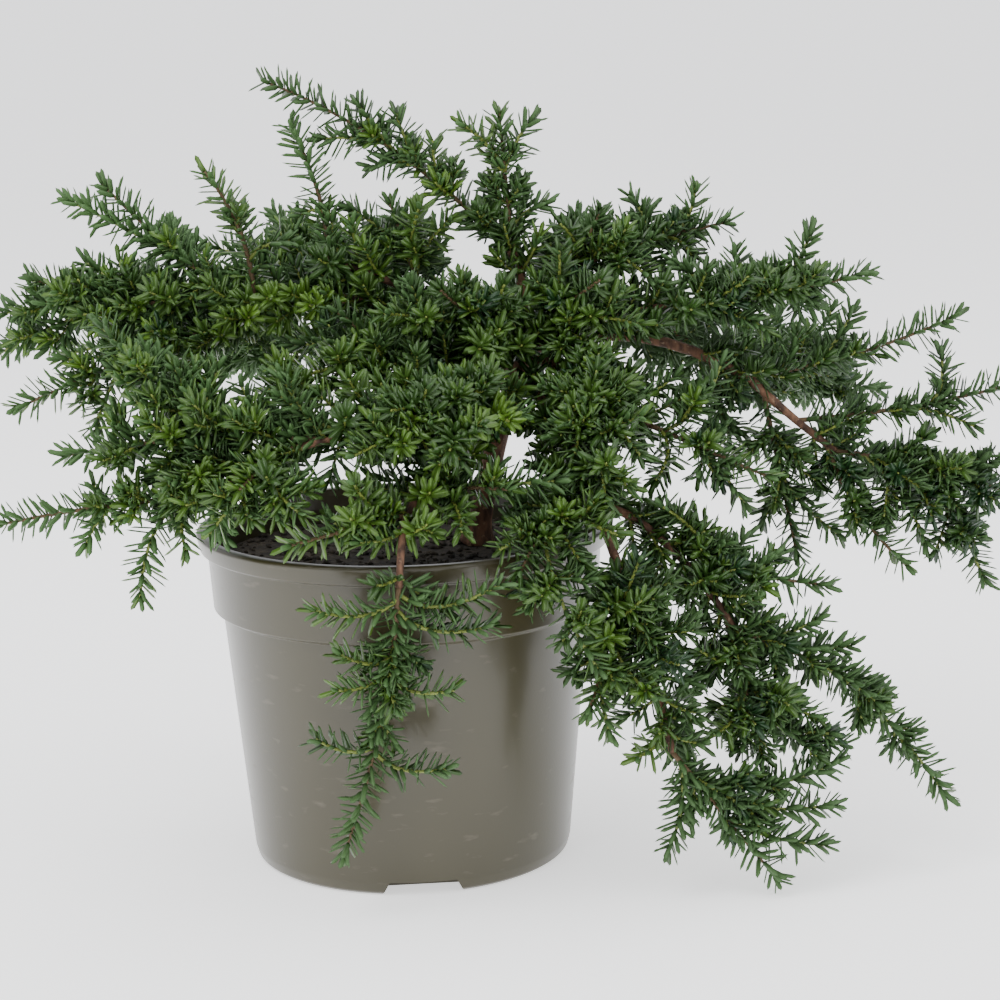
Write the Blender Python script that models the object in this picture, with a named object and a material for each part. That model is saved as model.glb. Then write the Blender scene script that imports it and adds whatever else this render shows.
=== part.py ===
"""Mountain plum pine, a low spreading evergreen shrub, in a plastic nursery pot.

The pot stands on the floor with the middle of its underside at the origin, +Z up.
The shrub leans out of the pot on a short trunk. Boughs carry masses of foliage, and
each mass keeps to its own space: one stem, the arms that leave it, side shoots that
branch by a seeded rule, and leaves whose roots are sunk in them.
Tables and growth are in millimetres, and the meshes are built in metres.
"""

import math
import random

import bmesh
import bpy
import numpy as np
from mathutils import Vector
from mathutils.bvhtree import BVHTree

MM = 0.001

# Clearance between neighbouring solids
GAP = 0.3

# Pot: outside radius and height of each turn of the wall, from the base up
POT_HEIGHT = 154.3
POT_BASE_RADIUS = 70.0
POT_CORNER_RADIUS = 73.6
POT_CORNER_HEIGHT = 6.0
POT_STEP_RADIUS = 84.0
POT_STEP_HEIGHT = 117.4
BAND_LOW_RADIUS = 88.4
BAND_LOW_HEIGHT = 118.6
BAND_TOP_RADIUS = 90.0
LIP_LOW_HEIGHT = 145.7
LIP_LOW_RADIUS = 93.5
LIP_RADIUS = 95.0
LIP_EDGE = 1.2
LIP_WIDTH = 5.0
POT_WALL = 2.0
POT_FLOOR = 9.0
POT_SEGMENTS = 40

# Drain notches in the foot of the pot
NOTCH_COUNT = 3
NOTCH_TURN = math.radians(-87.0)
NOTCH_HEIGHT = 6.5
NOTCH_TOP_WIDTH = 30.0
NOTCH_FOOT_WIDTH = 38.0
NOTCH_DEPTH = 13.0
NOTCH_REACH = 12.0

# Compost
COMPOST_TOP = 139.0

# Trunk, leaning from its foot on the compost to the fork
TRUNK_FOOT = (34.0, 22.0, COMPOST_TOP + GAP)
TRUNK_FORK = (58.0, 6.0, 231.0)
TRUNK_BOW = (-3.0, 0.0, 0.0)
TRUNK_FOOT_RADIUS = 5.5
TRUNK_FORK_RADIUS = 4.2
FLARE_RADIUS = 8.5
FLARE_SHARE = 0.14
TRUNK_SIDES = 8
BOUGH_SIDES = 5

# Boughs: name, the limb that carries it, where on that limb it leaves, its tip,
# how far its middle is bowed from the straight line, its radii at foot and tip
BOUGHS = (
    ("bough_right_arch", "trunk", 1.0, (160, 0, 215), (0, 0, 13), (2.9, 2.1)),
    ("bough_right_arch_end", "bough_right_arch", 1.0, (198, -4, 182), (0, 0, -1), (2.1, 1.6)),
    ("bough_leader", "trunk", 1.0, (52, 5, 277), (3, 0, 0), (2.8, 2.1)),
    ("bough_right_crest", "bough_leader", 0.4, (111, 12, 278), (0, 0, 5), (1.9, 1.4)),
    ("bough_right_shelf", "bough_right_arch", 0.12, (135, -14, 254), (0, 0, 3), (1.9, 1.4)),
    ("bough_left_upper", "trunk", 0.97, (-30, -2, 275), (0, 0, 5), (2.4, 1.5)),
    ("bough_left_lower", "trunk", 0.9, (-72, -8, 257), (0, 0, 15), (2.6, 1.6)),
    ("bough_left_front", "trunk", 0.8, (-30, -78, 207), (0, 0, 12), (2.4, 1.6)),
    ("bough_left_low", "bough_left_front", 1.0, (-85, -72, 183), (0, 0, 4), (1.6, 1.3)),
    ("bough_front_fall", "trunk", 0.72, (0, -90, 172), (0, 0, 12), (2.4, 1.9)),
    ("bough_front_rim", "bough_front_fall", 1.0, (-3, -105, 148), (0, -4, 3), (1.8, 1.5)),
    ("bough_cascade", "trunk", 0.88, (86, -58, 165), (0, 0, 9), (2.7, 2.2)),
    ("bough_cascade_low", "bough_cascade", 1.0, (113, -92, 68), (0, -6, 6), (2.1, 1.5)),
    ("bough_cascade_side", "bough_cascade", 0.9, (144, -62, 115), (0, 0, 10), (2.0, 1.5)),
    ("bough_mid_right", "trunk", 0.95, (110, -36, 202), (0, 0, 8), (2.2, 1.5)),
    ("bough_back_left", "trunk", 0.85, (-50, 92, 222), (0, 0, 12), (2.4, 1.5)),
    ("bough_back_mid", "trunk", 0.92, (66, 108, 226), (0, 0, 12), (2.4, 1.5)),
    ("bough_back_right", "bough_right_arch", 0.3, (160, 92, 204), (0, 0, 12), (2.0, 1.4)),
)

# Foliage rule
STEM_STEPS = 8
SHOOT_STEPS = 4
WHORL_SHOOTS = 3
WHORL_SPACING = 20.0
WHORL_SPREAD = 52.0
SHOOT_CLEAR = 3.2
FLAT_SPREAD = 1.25
FLAT_RISE = 0.75

# What of that growth is solid
SOLID_SHOOT_SHARE = 7
ARM_SOLID_STEPS = 2
TWIG_SIDES = 3
STEM_FOOT_RADIUS = 1.8
STEM_TIP_RADIUS = 1.4
ARM_FOOT_RADIUS = 1.5
ARM_TIP_RADIUS = 1.2
SHOOT_RADIUS = 1.05
LEAF_LENGTH = 23.0
LEAF_WIDTH = 7.5
LEAF_THICKNESS = 1.6
TIP_STANDS_OUT = 4.0
SHOOT_STANDS_OUT = 8.0
SHORTEST_TWIG = 5.0
LEAF_ROOT_WIDTH = 1.3
LEAF_ROOT_THICKNESS = 0.8
LEAF_WIDEST = 0.42
LEAF_SPREAD = math.radians(52.0)
LEAF_SPACING = 40.0
LEAF_FLOOR = 2.5

MASSES = []


def vec(x, y, z):
    return np.array((x, y, z), float)


def mass(name, limb, share, tip, bow=(0, 0, 0), reach=30, bare=36, lift=0.25, seed=1, arms=()):
    """A mass of foliage whose stem leaves a limb at a share of its length and runs to tip.

    reach is the length of its side shoots and bare the stretch behind each tip without
    them. lift turns their tips up, or down where it is negative. Each arm leaves the
    stem at a share of its length and runs to a tip of its own.
    """
    MASSES.append(
        {
            "name": name,
            "limb": limb,
            "share": share,
            "tip": vec(*tip),
            "bow": vec(*bow),
            "reach": reach,
            "bare": bare,
            "lift": lift,
            "seed": seed,
            "arms": [(at, vec(*end)) for at, end in arms],
        }
    )


mass("foliage_right_spray_low", "bough_right_arch_end", 1.0, (292, -6, 155), bow=(0, 0, 3), reach=32, lift=0.0,
     seed=75, arms=[(0.3, (265, -16, 121)), (0.12, (236, -24, 141)), (0.55, (283, 6, 176)), (0.15, (240, 28, 158))])
mass("foliage_right_spray_high", "bough_right_arch_end", 0.55, (292, -2, 213), bow=(0, 0, -3), reach=14, bare=50,
     seed=71, arms=[(0.55, (248, 6, 225)), (0.45, (260, -12, 193))])
mass("foliage_right_rising", "bough_right_arch", 0.97, (255, 6, 241), bow=(0, 0, -4), reach=12, bare=50,
     seed=22, arms=[(0.15, (182, 8, 235)), (0.3, (208, 10, 244)), (0.3, (206, 42, 222))])
mass("foliage_right_tuft_out", "bough_right_arch_end", 0.9, (227, -24, 132), bow=(-4, 0, -2), reach=20, lift=-0.2,
     seed=54, arms=[(0.35, (203, -26, 163)), (0.3, (220, -8, 150))])
mass("foliage_right_tuft_in", "bough_right_arch_end", 0.15, (179, -12, 136), reach=24, lift=-0.2,
     seed=54, arms=[(0.5, (198, -14, 145)), (0.45, (165, -5, 151)), (0.3, (188, -10, 170))])
mass("foliage_right_drop", "bough_right_arch", 0.8, (154, 14, 176), reach=18, bare=24, lift=-0.2,
     seed=7, arms=[(0.3, (147, 5, 194))])
mass("foliage_right_crest_tip", "bough_right_crest", 1.0, (152, 16, 286), reach=20,
     seed=2, arms=[(0.4, (137, 16, 302)), (0.04, (108, 20, 298)), (0.3, (133, 0, 273)), (0.3, (128, 52, 278))])
mass("foliage_right_shelf_tip", "bough_right_shelf", 1.0, (211, -10, 264), bow=(0, 0, -2), reach=26,
     seed=7, arms=[(0.4, (187, -2, 282)), (0.1, (152, -10, 276)), (0.05, (163, -24, 241)),
                   (0.5, (175, -22, 259)), (0.02, (125, -2, 270)), (0.2, (165, 38, 258)),
                   (0.4, (195, 28, 258))])
mass("foliage_crest_inner", "bough_right_crest", 0.45, (92, 4, 292), reach=22, bare=26,
     seed=36, arms=[(0.3, (115, -16, 262)), (0.2, (74, -5, 289)), (0.3, (88, 48, 275)),
                    (0.15, (68, 40, 268))])
mass("foliage_leader_top", "bough_leader", 0.95, (48, 5, 338), reach=16, bare=26,
     seed=74, arms=[(0.6, (31, 0, 334)), (0.6, (63, 8, 335)), (0.18, (68, 8, 297))])
mass("foliage_arch_tip", "bough_leader", 1.0, (-57, 10, 355), bow=(0, 0, 9), reach=16, bare=60,
     seed=49, arms=[(0.38, (2, 8, 339)), (0.5, (-15, 4, 344)), (0.55, (-32, 16, 328)),
                    (0.3, (18, 2, 327)), (0.45, (-10, 10, 315))])
mass("foliage_left_crest", "bough_left_upper", 0.55, (-2, 2, 300), reach=24, bare=26,
     seed=48, arms=[(0.2, (25, -8, 293)), (0.4, (-21, 5, 298)), (0.3, (11, -16, 299)), (0.3, (0, 45, 285)),
                    (0.12, (18, 42, 268))])
mass("foliage_left_thick", "bough_left_lower", 0.94, (-83, -14, 317), bow=(5, 0, 2), reach=12, bare=30,
     seed=38, arms=[(0.3, (-47, -8, 285)), (0.45, (-69, -2, 297))])
mass("foliage_left_thin", "bough_left_upper", 1.0, (-46, 14, 335), bow=(4, 0, 0), reach=12, bare=50,
     seed=13, arms=[(0.35, (-42, 4, 295))])
mass("foliage_left_long", "bough_left_lower", 0.97, (-130, 6, 311), bow=(0, 0, -3), reach=16, bare=44,
     seed=33, arms=[(0.3, (-148, 16, 304)), (0.45, (-109, 0, 287)), (0.2, (-92, -14, 261)), (0.3, (-105, 45, 286))])
mass("foliage_left_outer", "bough_left_lower", 1.0, (-163, 2, 270), bow=(0, 0, -4), reach=24, bare=30,
     seed=34, arms=[(0.5, (-187, 12, 252)), (0.6, (-157, -4, 259)), (0.45, (-188, 20, 231)),
                    (0.3, (-140, 10, 276)), (0.3, (-128, 50, 258))])
mass("foliage_left_cluster", "bough_left_lower", 0.75, (-171, -12, 214), bow=(0, 0, 3), reach=26,
     seed=46, arms=[(0.6, (-136, -20, 204)), (0.5, (-151, -10, 235)), (0.35, (-93, -30, 218)), (0.4, (-122, 38, 214))])
mass("foliage_left_spray", "bough_left_front", 1.0, (-146, -52, 199), bow=(0, 0, 4), reach=34,
     seed=36, arms=[(0.3, (-130, -50, 258)), (0.3, (-94, -60, 228)), (0.15, (-68, -70, 231))])
mass("foliage_left_low_out", "bough_left_low", 1.0, (-180, -66, 171), bow=(0, 0, 2), reach=18, bare=55,
     seed=41, arms=[(0.1, (-114, -78, 141)), (0.4, (-137, -70, 163)), (0.05, (-93, -84, 162))])
mass("foliage_left_rosettes", "bough_left_low", 0.4, (-68, -104, 192), reach=24, bare=20,
     seed=4, arms=[(0.3, (-43, -110, 182)), (0.2, (-82, -98, 172))])
mass("foliage_mid_left_up", "bough_left_front", 0.45, (-28, -25, 256), reach=24, bare=26,
     seed=13, arms=[(0.3, (-48, -18, 240)), (0.2, (-65, -60, 222)), (0.3, (-10, -30, 240))])
mass("foliage_centre_crown", "trunk", 0.93, (19, -40, 265), reach=28, bare=24,
     seed=41, arms=[(0.3, (47, -34, 266)), (0.4, (-6, -45, 256)), (0.2, (35, -50, 240))])
mass("foliage_crown_right", "bough_leader", 0.15, (89, -34, 267), reach=24, bare=24,
     seed=21, arms=[(0.3, (72, -24, 279)), (0.3, (106, -36, 247)), (0.15, (88, -40, 235))])
mass("foliage_centre_front", "bough_front_fall", 0.25, (23, -80, 225), reach=26, bare=20,
     seed=70, arms=[(0.3, (46, -78, 213)), (0.4, (-4, -96, 222)), (0.35, (20, -105, 206)),
                    (0.3, (-20, -100, 204))])
mass("foliage_front_node_left", "bough_front_fall", 0.95, (-48, -112, 169), reach=16, bare=30,
     seed=56, arms=[(0.1, (-20, -112, 194)), (0.2, (-22, -114, 180))])
mass("foliage_front_node_right", "bough_front_fall", 0.8, (45, -92, 186), reach=16, bare=30,
     seed=37, arms=[(0.15, (24, -104, 171)), (0.3, (67, -86, 188))])
mass("foliage_front_cascade", "bough_front_rim", 1.0, (-30, -101, 30), bow=(4, 0, 0), reach=16, bare=60,
     lift=-0.2, seed=4, arms=[(0.04, (-39, -112, 141)), (0.02, (39, -110, 149)), (0.08, (36, -112, 132)),
                              (0.3, (-31, -112, 106)), (0.25, (-28, -113, 122)), (0.32, (19, -110, 104)),
                              (0.58, (-40, -108, 84)), (0.6, (15, -108, 69))])
mass("foliage_rim_right", "bough_cascade", 0.75, (48, -106, 153), bow=(0, 0, 4), reach=22, bare=24,
     seed=23, arms=[(0.6, (80, -110, 111)), (0.5, (40, -100, 162)), (0.4, (74, -100, 156)),
                    (0.3, (90, -96, 166))])
mass("foliage_mid_right_spray", "bough_mid_right", 1.0, (161, -52, 180), reach=30,
     seed=17, arms=[(0.1, (143, -30, 228)), (0.35, (150, -50, 168)), (0.1, (110, -60, 182))])
mass("foliage_mid_right_inner", "bough_mid_right", 0.5, (82, -66, 219), reach=26, bare=20,
     seed=40, arms=[(0.3, (98, -55, 223)), (0.3, (74, -74, 197)), (0.4, (102, -76, 196)),
                    (0.35, (86, -88, 179))])
mass("foliage_cascade_upper", "bough_cascade_side", 0.6, (186, -50, 130), reach=20,
     seed=65, arms=[(0.25, (166, -50, 145)), (0.15, (151, -45, 152)), (0.2, (125, -60, 164)),
                    (0.05, (111, -72, 173)), (0.1, (123, -78, 139))])
mass("foliage_cascade_right", "bough_cascade_side", 1.0, (212, -50, 81), reach=22, bare=40, lift=-0.1,
     seed=14, arms=[(0.3, (198, -50, 102)), (0.15, (183, -56, 117)), (0.6, (240, -58, 32)),
                    (0.5, (208, -66, 79))])
mass("foliage_cascade_inner", "bough_cascade_side", 0.9, (153, -74, 67), reach=28, bare=26, lift=-0.1,
     seed=6, arms=[(0.3, (126, -84, 111)), (0.4, (180, -76, 76)), (0.5, (169, -60, 81)),
                   (0.6, (131, -92, 75)), (0.7, (192, -66, 61))])
mass("foliage_cascade_bottom", "bough_cascade_low", 1.0, (159, -88, 7), reach=20, bare=40, lift=-0.2,
     seed=63, arms=[(0.06, (111, -92, 24)), (0.3, (185, -80, 38)), (0.5, (180, -84, 21)),
                    (0.2, (188, -72, 55))])
mass("foliage_cascade_face", "bough_cascade_low", 0.3, (76, -108, 92), reach=28, bare=24, lift=-0.1,
     seed=1, arms=[(0.2, (99, -104, 139)), (0.3, (83, -106, 123)), (0.4, (106, -108, 96)),
                   (0.3, (122, -84, 125)), (0.7, (85, -106, 81)), (0.15, (99, -98, 155))])
mass("foliage_back_left_out", "bough_back_left", 1.0, (-150, 130, 232), reach=36,
     seed=2, arms=[(0.3, (-110, 165, 205)), (0.4, (-120, 120, 262)), (0.2, (-72, 152, 228)),
                    (0.15, (-100, 98, 238)), (0.55, (-160, 100, 222)), (0.5, (-130, 160, 235))])
mass("foliage_back_left_up", "bough_back_left", 0.6, (-60, 125, 285), reach=34,
     seed=1, arms=[(0.3, (-20, 150, 262)), (0.2, (-10, 95, 280)), (0.4, (-50, 160, 272)),
                    (0.3, (-92, 105, 272)), (0.15, (10, 122, 262)), (0.1, (-20, 75, 262))])
mass("foliage_back_mid_out", "bough_back_mid", 1.0, (95, 190, 215), reach=36,
     seed=10, arms=[(0.3, (45, 185, 235)), (0.3, (80, 165, 262)), (0.2, (30, 150, 200)), (0.4, (60, 200, 215)),
                    (0.35, (125, 170, 222)), (0.15, (100, 130, 238)), (0.5, (112, 180, 238)),
                    (0.1, (25, 120, 220))])
mass("foliage_back_right_out", "bough_back_right", 1.0, (240, 120, 190), reach=36,
     seed=22, arms=[(0.3, (200, 160, 205)), (0.3, (215, 110, 232)), (0.4, (225, 150, 195)),
                    (0.2, (165, 140, 215)), (0.5, (205, 90, 205)), (0.12, (190, 125, 228))])


# Paths and growth, in millimetres


def unit(v):
    return v / np.linalg.norm(v)


def curve(start, control, tip, steps):
    """Points of a quadratic curve from start to tip."""
    u = np.linspace(0, 1, steps + 1)[:, None]
    return (1 - u) ** 2 * start + 2 * u * (1 - u) * control + u * u * tip


def bowed(start, tip, bow, steps=STEM_STEPS):
    """A curve whose middle lies bow away from the straight line."""
    return curve(start, (start + tip) / 2 + 2 * bow, tip, steps)


def length_of(path):
    return np.linalg.norm(np.diff(path, axis=0), axis=1).sum()


def place_on(path, share):
    """The point and the direction at a share of a path's length."""
    runs = np.linalg.norm(np.diff(path, axis=0), axis=1)
    reached = np.concatenate(([0], np.cumsum(runs)))
    along = share * reached[-1]
    i = min(np.searchsorted(reached, along, side="right") - 1, len(runs) - 1)
    step = path[i + 1] - path[i]
    return path[i] + step * (along - reached[i]) / runs[i], step / runs[i]


def limb_paths():
    """The middle line of the trunk and of each bough."""
    paths = {"trunk": bowed(vec(*TRUNK_FOOT), vec(*TRUNK_FORK), vec(*TRUNK_BOW))}
    for name, carrier, share, tip, bow, _ in BOUGHS:
        start, _ = place_on(paths[carrier], share)
        paths[name] = bowed(start, vec(*tip), vec(*bow))
    return paths


def arm_paths(m, paths):
    """The middle lines of a mass's stem and arms, the stem first."""
    start, _ = place_on(paths[m["limb"]], m["share"])
    stem = bowed(start, m["tip"], m["bow"])
    arms = [stem]
    for share, tip in m["arms"]:
        foot, along = place_on(stem, share)
        span = np.linalg.norm(tip - foot)
        control = foot + 0.45 * span * unit(along + (tip - foot) / span)
        arms.append(curve(foot, control, tip, STEM_STEPS))
    return arms


def points_along(lines, step=4.0):
    """Points every few millimetres along several paths."""
    found = []
    for path in lines:
        for a, b in zip(path[:-1], path[1:]):
            count = max(1, int(np.linalg.norm(b - a) / step))
            found.append(a + (b - a) * np.linspace(0, 1, count, endpoint=False)[:, None])
        found.append(path[-1:])
    return np.concatenate(found)


def meets_pot(path, margin=4.0):
    """True where a path comes too near the pot, the compost or the floor."""
    radius = np.hypot(path[:, 0], path[:, 1])
    height = path[:, 2]
    body = POT_STEP_RADIUS - (118.0 - height) * 0.0945
    wall = np.where(height < 118.0, body, np.where(height < 146.0, BAND_TOP_RADIUS, LIP_RADIUS))
    beside = (height < 154.5 + margin) & (radius < wall + margin)
    in_mouth = (radius < POT_STEP_RADIUS - margin) & (height > 141.0 + margin)
    return bool((beside & ~in_mouth).any()) or bool((height < 6).any())


def cross_axes(along):
    """A sideways and an upward direction square to a twig."""
    side = np.cross(along, (0, 0, 1))
    side = unit(side) if np.linalg.norm(side) > 0.15 else vec(1, 0, 0)
    return side, np.cross(side, along)


def side_shoots(m, arms, others):
    """Whorls of side shoots from each arm's bare tip back to its foot.

    A shoot that would come near the pot, another mass or a limb is left out.
    """
    rng = random.Random(m["seed"])
    shoots = []
    own = []
    for arm in arms:
        whole = length_of(arm)
        place = whole - m["bare"]
        whorl = 0
        roll = rng.uniform(0, 6.28)
        while place > 4:
            _, along = place_on(arm, place / whole)
            side, up = cross_axes(along)
            roll += 1.1 + rng.uniform(-0.3, 0.3)
            for k in range(WHORL_SHOOTS):
                turn = roll + k * 2.0944 + rng.uniform(-0.35, 0.35)
                spread = math.radians(WHORL_SPREAD + rng.uniform(-10, 10))
                out = math.cos(turn) * side * FLAT_SPREAD + math.sin(turn) * up * FLAT_RISE
                heading = unit(math.cos(spread) * along + math.sin(spread) * out)
                span = m["reach"] * min(1.0, 0.62 + 0.19 * whorl) * rng.uniform(0.7, 1.1)
                foot_share = min(0.999, max(0.001, (place + rng.uniform(-3, 3)) / whole))
                foot, _ = place_on(arm, foot_share)
                tip = foot + span * unit(heading + vec(0, 0, m["lift"]))
                shoot = curve(foot, foot + 0.5 * span * heading, tip, SHOOT_STEPS)
                if meets_pot(shoot):
                    continue
                probes = np.concatenate((shoot[1:], (shoot[1:] + shoot[:-1]) / 2))
                near = others[np.abs(others - shoot[2]).max(1) < span + 10]
                if len(near) and np.linalg.norm(near[None] - probes[:, None], axis=2).min() < SHOOT_CLEAR:
                    continue
                if own:
                    mine = np.concatenate(own)
                    if np.linalg.norm(mine[None] - shoot[2:][:, None], axis=2).min() < SHOOT_CLEAR * 1.6:
                        continue
                own.append(shoot[2:])
                shoots.append(shoot)
            place -= WHORL_SPACING * rng.uniform(0.85, 1.15)
            whorl += 1
    return shoots


def grow():
    """Limb paths, and each mass's arms and side shoots, by name."""
    limbs = limb_paths()
    arms = {m["name"]: arm_paths(m, limbs) for m in MASSES}
    limb_points = points_along(list(limbs.values()))
    taken = {name: points_along(lines) for name, lines in arms.items()}
    shoots = {}
    for m in MASSES:
        name = m["name"]
        others = np.concatenate([limb_points] + [p for k, p in taken.items() if k != name])
        shoots[name] = side_shoots(m, arms[name], others)
        taken[name] = points_along(arms[name] + shoots[name])
    return limbs, arms, shoots


# Solids: each piece is a list of corners in millimetres and a list of faces


def ring_frames(path):
    """Two directions square to each point of a path, turned as little as can be."""
    steps = np.diff(path, axis=0)
    tangents = [steps[0]] + [a + b for a, b in zip(steps[:-1], steps[1:])] + [steps[-1]]
    tangents = [unit(t) for t in tangents]
    first, _ = cross_axes(tangents[0])
    frames = []
    for t in tangents:
        first = unit(first - t * (first @ t))
        frames.append((first, np.cross(t, first)))
    return frames


def flat_ring(centre, across, up, width, thickness):
    """The three corners of a flat section: its upper ridge and its two edges."""
    edge = across * width / 2
    return [centre + up * thickness * 0.6, centre - edge - up * thickness * 0.4, centre + edge - up * thickness * 0.4]


def join_rings(rings, tip=None):
    """Faces between rings of corners, closed by a cap or a point."""
    corners = [c for ring in rings for c in ring]
    sides = len(rings[0])
    faces = [tuple(reversed(range(sides)))]
    for i in range(len(rings) - 1):
        for k in range(sides):
            n = (k + 1) % sides
            faces.append((i * sides + k, i * sides + n, (i + 1) * sides + n, (i + 1) * sides + k))
    last = (len(rings) - 1) * sides
    if tip is None:
        faces.append(tuple(last + k for k in range(sides)))
    else:
        corners.append(tip)
        for k in range(sides):
            faces.append((last + k, last + (k + 1) % sides, len(corners) - 1))
    return corners, faces


def tube_rings(path, radii, sides, grow_by):
    path = np.array(path)
    path[0] = path[0] - grow_by * unit(path[1] - path[0])
    path[-1] = path[-1] + grow_by * unit(path[-1] - path[-2])
    rings = []
    for point, (a, b), radius in zip(path, ring_frames(path), radii):
        turns = [math.pi / 2 + 2 * math.pi * k / sides for k in range(sides)]
        rings.append([point + (radius + grow_by) * (math.cos(t) * a + math.sin(t) * b) for t in turns])
    return rings


def tube(path, radii, sides, grow_by=0.0):
    """A closed tapering tube along a path, with flat ends."""
    return join_rings(tube_rings(path, radii, sides, grow_by))


def twig(path, radii, grow_by=0.0):
    """A three-sided twig that runs out into the leaf at its tip."""
    rings = tube_rings(path, radii, TWIG_SIDES, grow_by)
    across, up = ring_frames(path)[-1]
    heading = unit(path[-1] - path[-2])
    waist = path[-1] + LEAF_WIDEST * LEAF_LENGTH * heading
    rings.append(flat_ring(waist, across, up, LEAF_WIDTH + 2 * grow_by, LEAF_THICKNESS + 3 * grow_by))
    return join_rings(rings, path[-1] + (LEAF_LENGTH + 2 * grow_by) * heading)


def leaf(foot, heading, across, grow_by=0.0):
    """A closed leaf with three long sides, its blunt root on the middle line of a twig."""
    up = np.cross(heading, across)
    waist = foot + LEAF_WIDEST * LEAF_LENGTH * heading
    rings = [flat_ring(foot, across, up, LEAF_ROOT_WIDTH + 2 * grow_by, LEAF_ROOT_THICKNESS + 3 * grow_by)]
    rings.append(flat_ring(waist, across, up, LEAF_WIDTH + 2 * grow_by, LEAF_THICKNESS + 3 * grow_by))
    return join_rings(rings, foot + (LEAF_LENGTH + 2 * grow_by) * heading)


class Taken:
    """The space that placed pieces fill, each noted with its node."""

    def __init__(self):
        self.lows = np.zeros((0, 3))
        self.highs = np.zeros((0, 3))
        self.nodes = []
        self.trees = []

    def add(self, node, piece):
        corners, faces = piece
        box = np.array(corners)
        self.lows = np.concatenate((self.lows, box.min(0)[None]))
        self.highs = np.concatenate((self.highs, box.max(0)[None]))
        self.nodes.append(node)
        self.trees.append(BVHTree.FromPolygons([tuple(c) for c in corners], faces, all_triangles=False))

    def meets(self, node, piece):
        """True if a piece, already enlarged by the clearance, cuts one of another node."""
        corners, faces = piece
        box = np.array(corners)
        hits = (self.lows < box.max(0)).all(1) & (self.highs > box.min(0)).all(1)
        tree = None
        for i in np.nonzero(hits)[0]:
            if self.nodes[i] == node:
                continue
            if tree is None:
                tree = BVHTree.FromPolygons([tuple(c) for c in corners], faces, all_triangles=False)
            if tree.overlap(self.trees[i]):
                return True
        return False


def cut_path(path, start, end=1.0, steps=4):
    """The stretch of a path between two shares of its length."""
    return np.array([place_on(path, start + (end - start) * k / steps)[0] for k in range(steps + 1)])


def clear_start(node, path, radii, sides, taken, steps=4):
    """The path from where its tube first stands clear of every other node."""
    whole = length_of(path)

    def blocked(offset):
        run = cut_path(path, offset / whole, steps=steps)
        return taken.meets(node, tube(run, taper(radii, steps), sides, GAP))

    offset = 0.5
    while blocked(offset) and offset < 0.6 * whole:
        offset += 1.0
    while offset > 0.2 and not blocked(offset - 0.1):
        offset -= 0.1
    return cut_path(path, offset / whole, steps=steps)


def taper(radii, steps):
    return np.linspace(radii[0], radii[1], steps + 1)


def new_object(name, corners, faces, material):
    """A mesh object from corners in millimetres."""
    mesh = bpy.data.meshes.new(name)
    mesh.from_pydata([Vector(c) * MM for c in corners], [], faces)
    mesh.validate()
    obj = bpy.data.objects.new(name, mesh)
    bpy.context.scene.collection.objects.link(obj)
    if material:
        mesh.materials.append(material)
    return obj


def make_material(name, colour, roughness, metallic=0.0):
    material = bpy.data.materials.new(name)
    material.use_nodes = True
    shader = material.node_tree.nodes["Principled BSDF"]
    shader.inputs["Base Color"].default_value = (*colour, 1.0)
    shader.inputs["Roughness"].default_value = roughness
    shader.inputs["Metallic"].default_value = metallic
    return material


def shells(bm):
    """The connected groups of faces of a mesh."""
    left = set(bm.faces)
    groups = []
    while left:
        group = [left.pop()]
        for face in group:
            for edge in face.edges:
                for other in edge.link_faces:
                    if other in left:
                        left.remove(other)
                        group.append(other)
        groups.append(group)
    return groups


def volume_of(faces):
    total = 0.0
    for face in faces:
        first, *rest = [v.co for v in face.verts]
        for b, c in zip(rest[:-1], rest[1:]):
            total += first.dot(b.cross(c)) / 6
    return total


def keep_body(obj):
    """Keeps the one main body: sealed hollows are filled and loose scraps dropped."""
    bm = bmesh.new()
    bm.from_mesh(obj.data)
    groups = sorted(shells(bm), key=volume_of, reverse=True)
    scrap = [f for group in groups[1:] for f in group]
    bmesh.ops.delete(bm, geom=scrap, context="FACES")
    closed = all(len(e.link_faces) == 2 for e in bm.edges)
    bm.to_mesh(obj.data)
    bm.free()
    return closed


def join_pieces(name, pieces, material, solver):
    """One body from the pieces of a mass, by a Boolean union on a collection."""
    body = new_object(name, *pieces[0], material)
    group = bpy.data.collections.new(name + "_pieces")
    for k, piece in enumerate(pieces[1:]):
        part = new_object(f"{name}_piece_{k}", *piece, material)
        bpy.context.scene.collection.objects.unlink(part)
        group.objects.link(part)
    bpy.context.scene.collection.children.link(group)
    union = body.modifiers.new("join", "BOOLEAN")
    union.operation = "UNION"
    union.operand_type = "COLLECTION"
    union.collection = group
    union.solver = solver
    graph = bpy.context.evaluated_depsgraph_get()
    joined = bpy.data.meshes.new_from_object(body.evaluated_get(graph))
    body.modifiers.clear()
    body.data = joined
    for part in list(group.objects):
        bpy.data.objects.remove(part)
    bpy.data.collections.remove(group)
    return body


# The pot and the compost


def turned(name, profile, segments, material):
    """A closed body turned round Z from a profile that starts and ends on the axis."""
    bm = bmesh.new()
    points = [bm.verts.new((r * MM, 0, z * MM)) for r, z in profile]
    edges = [bm.edges.new(pair) for pair in zip(points, points[1:])]
    bmesh.ops.spin(
        bm, geom=points + edges, cent=(0, 0, 0), axis=(0, 0, 1), angle=2 * math.pi, steps=segments, use_merge=True
    )
    bmesh.ops.remove_doubles(bm, verts=bm.verts, dist=0.01 * MM)
    bmesh.ops.recalc_face_normals(bm, faces=bm.faces)
    mesh = bpy.data.meshes.new(name)
    bm.to_mesh(mesh)
    bm.free()
    obj = bpy.data.objects.new(name, mesh)
    bpy.context.scene.collection.objects.link(obj)
    mesh.materials.append(material)
    mesh.shade_smooth()
    mesh.set_sharp_from_angle(angle=math.radians(30))
    return obj


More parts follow.
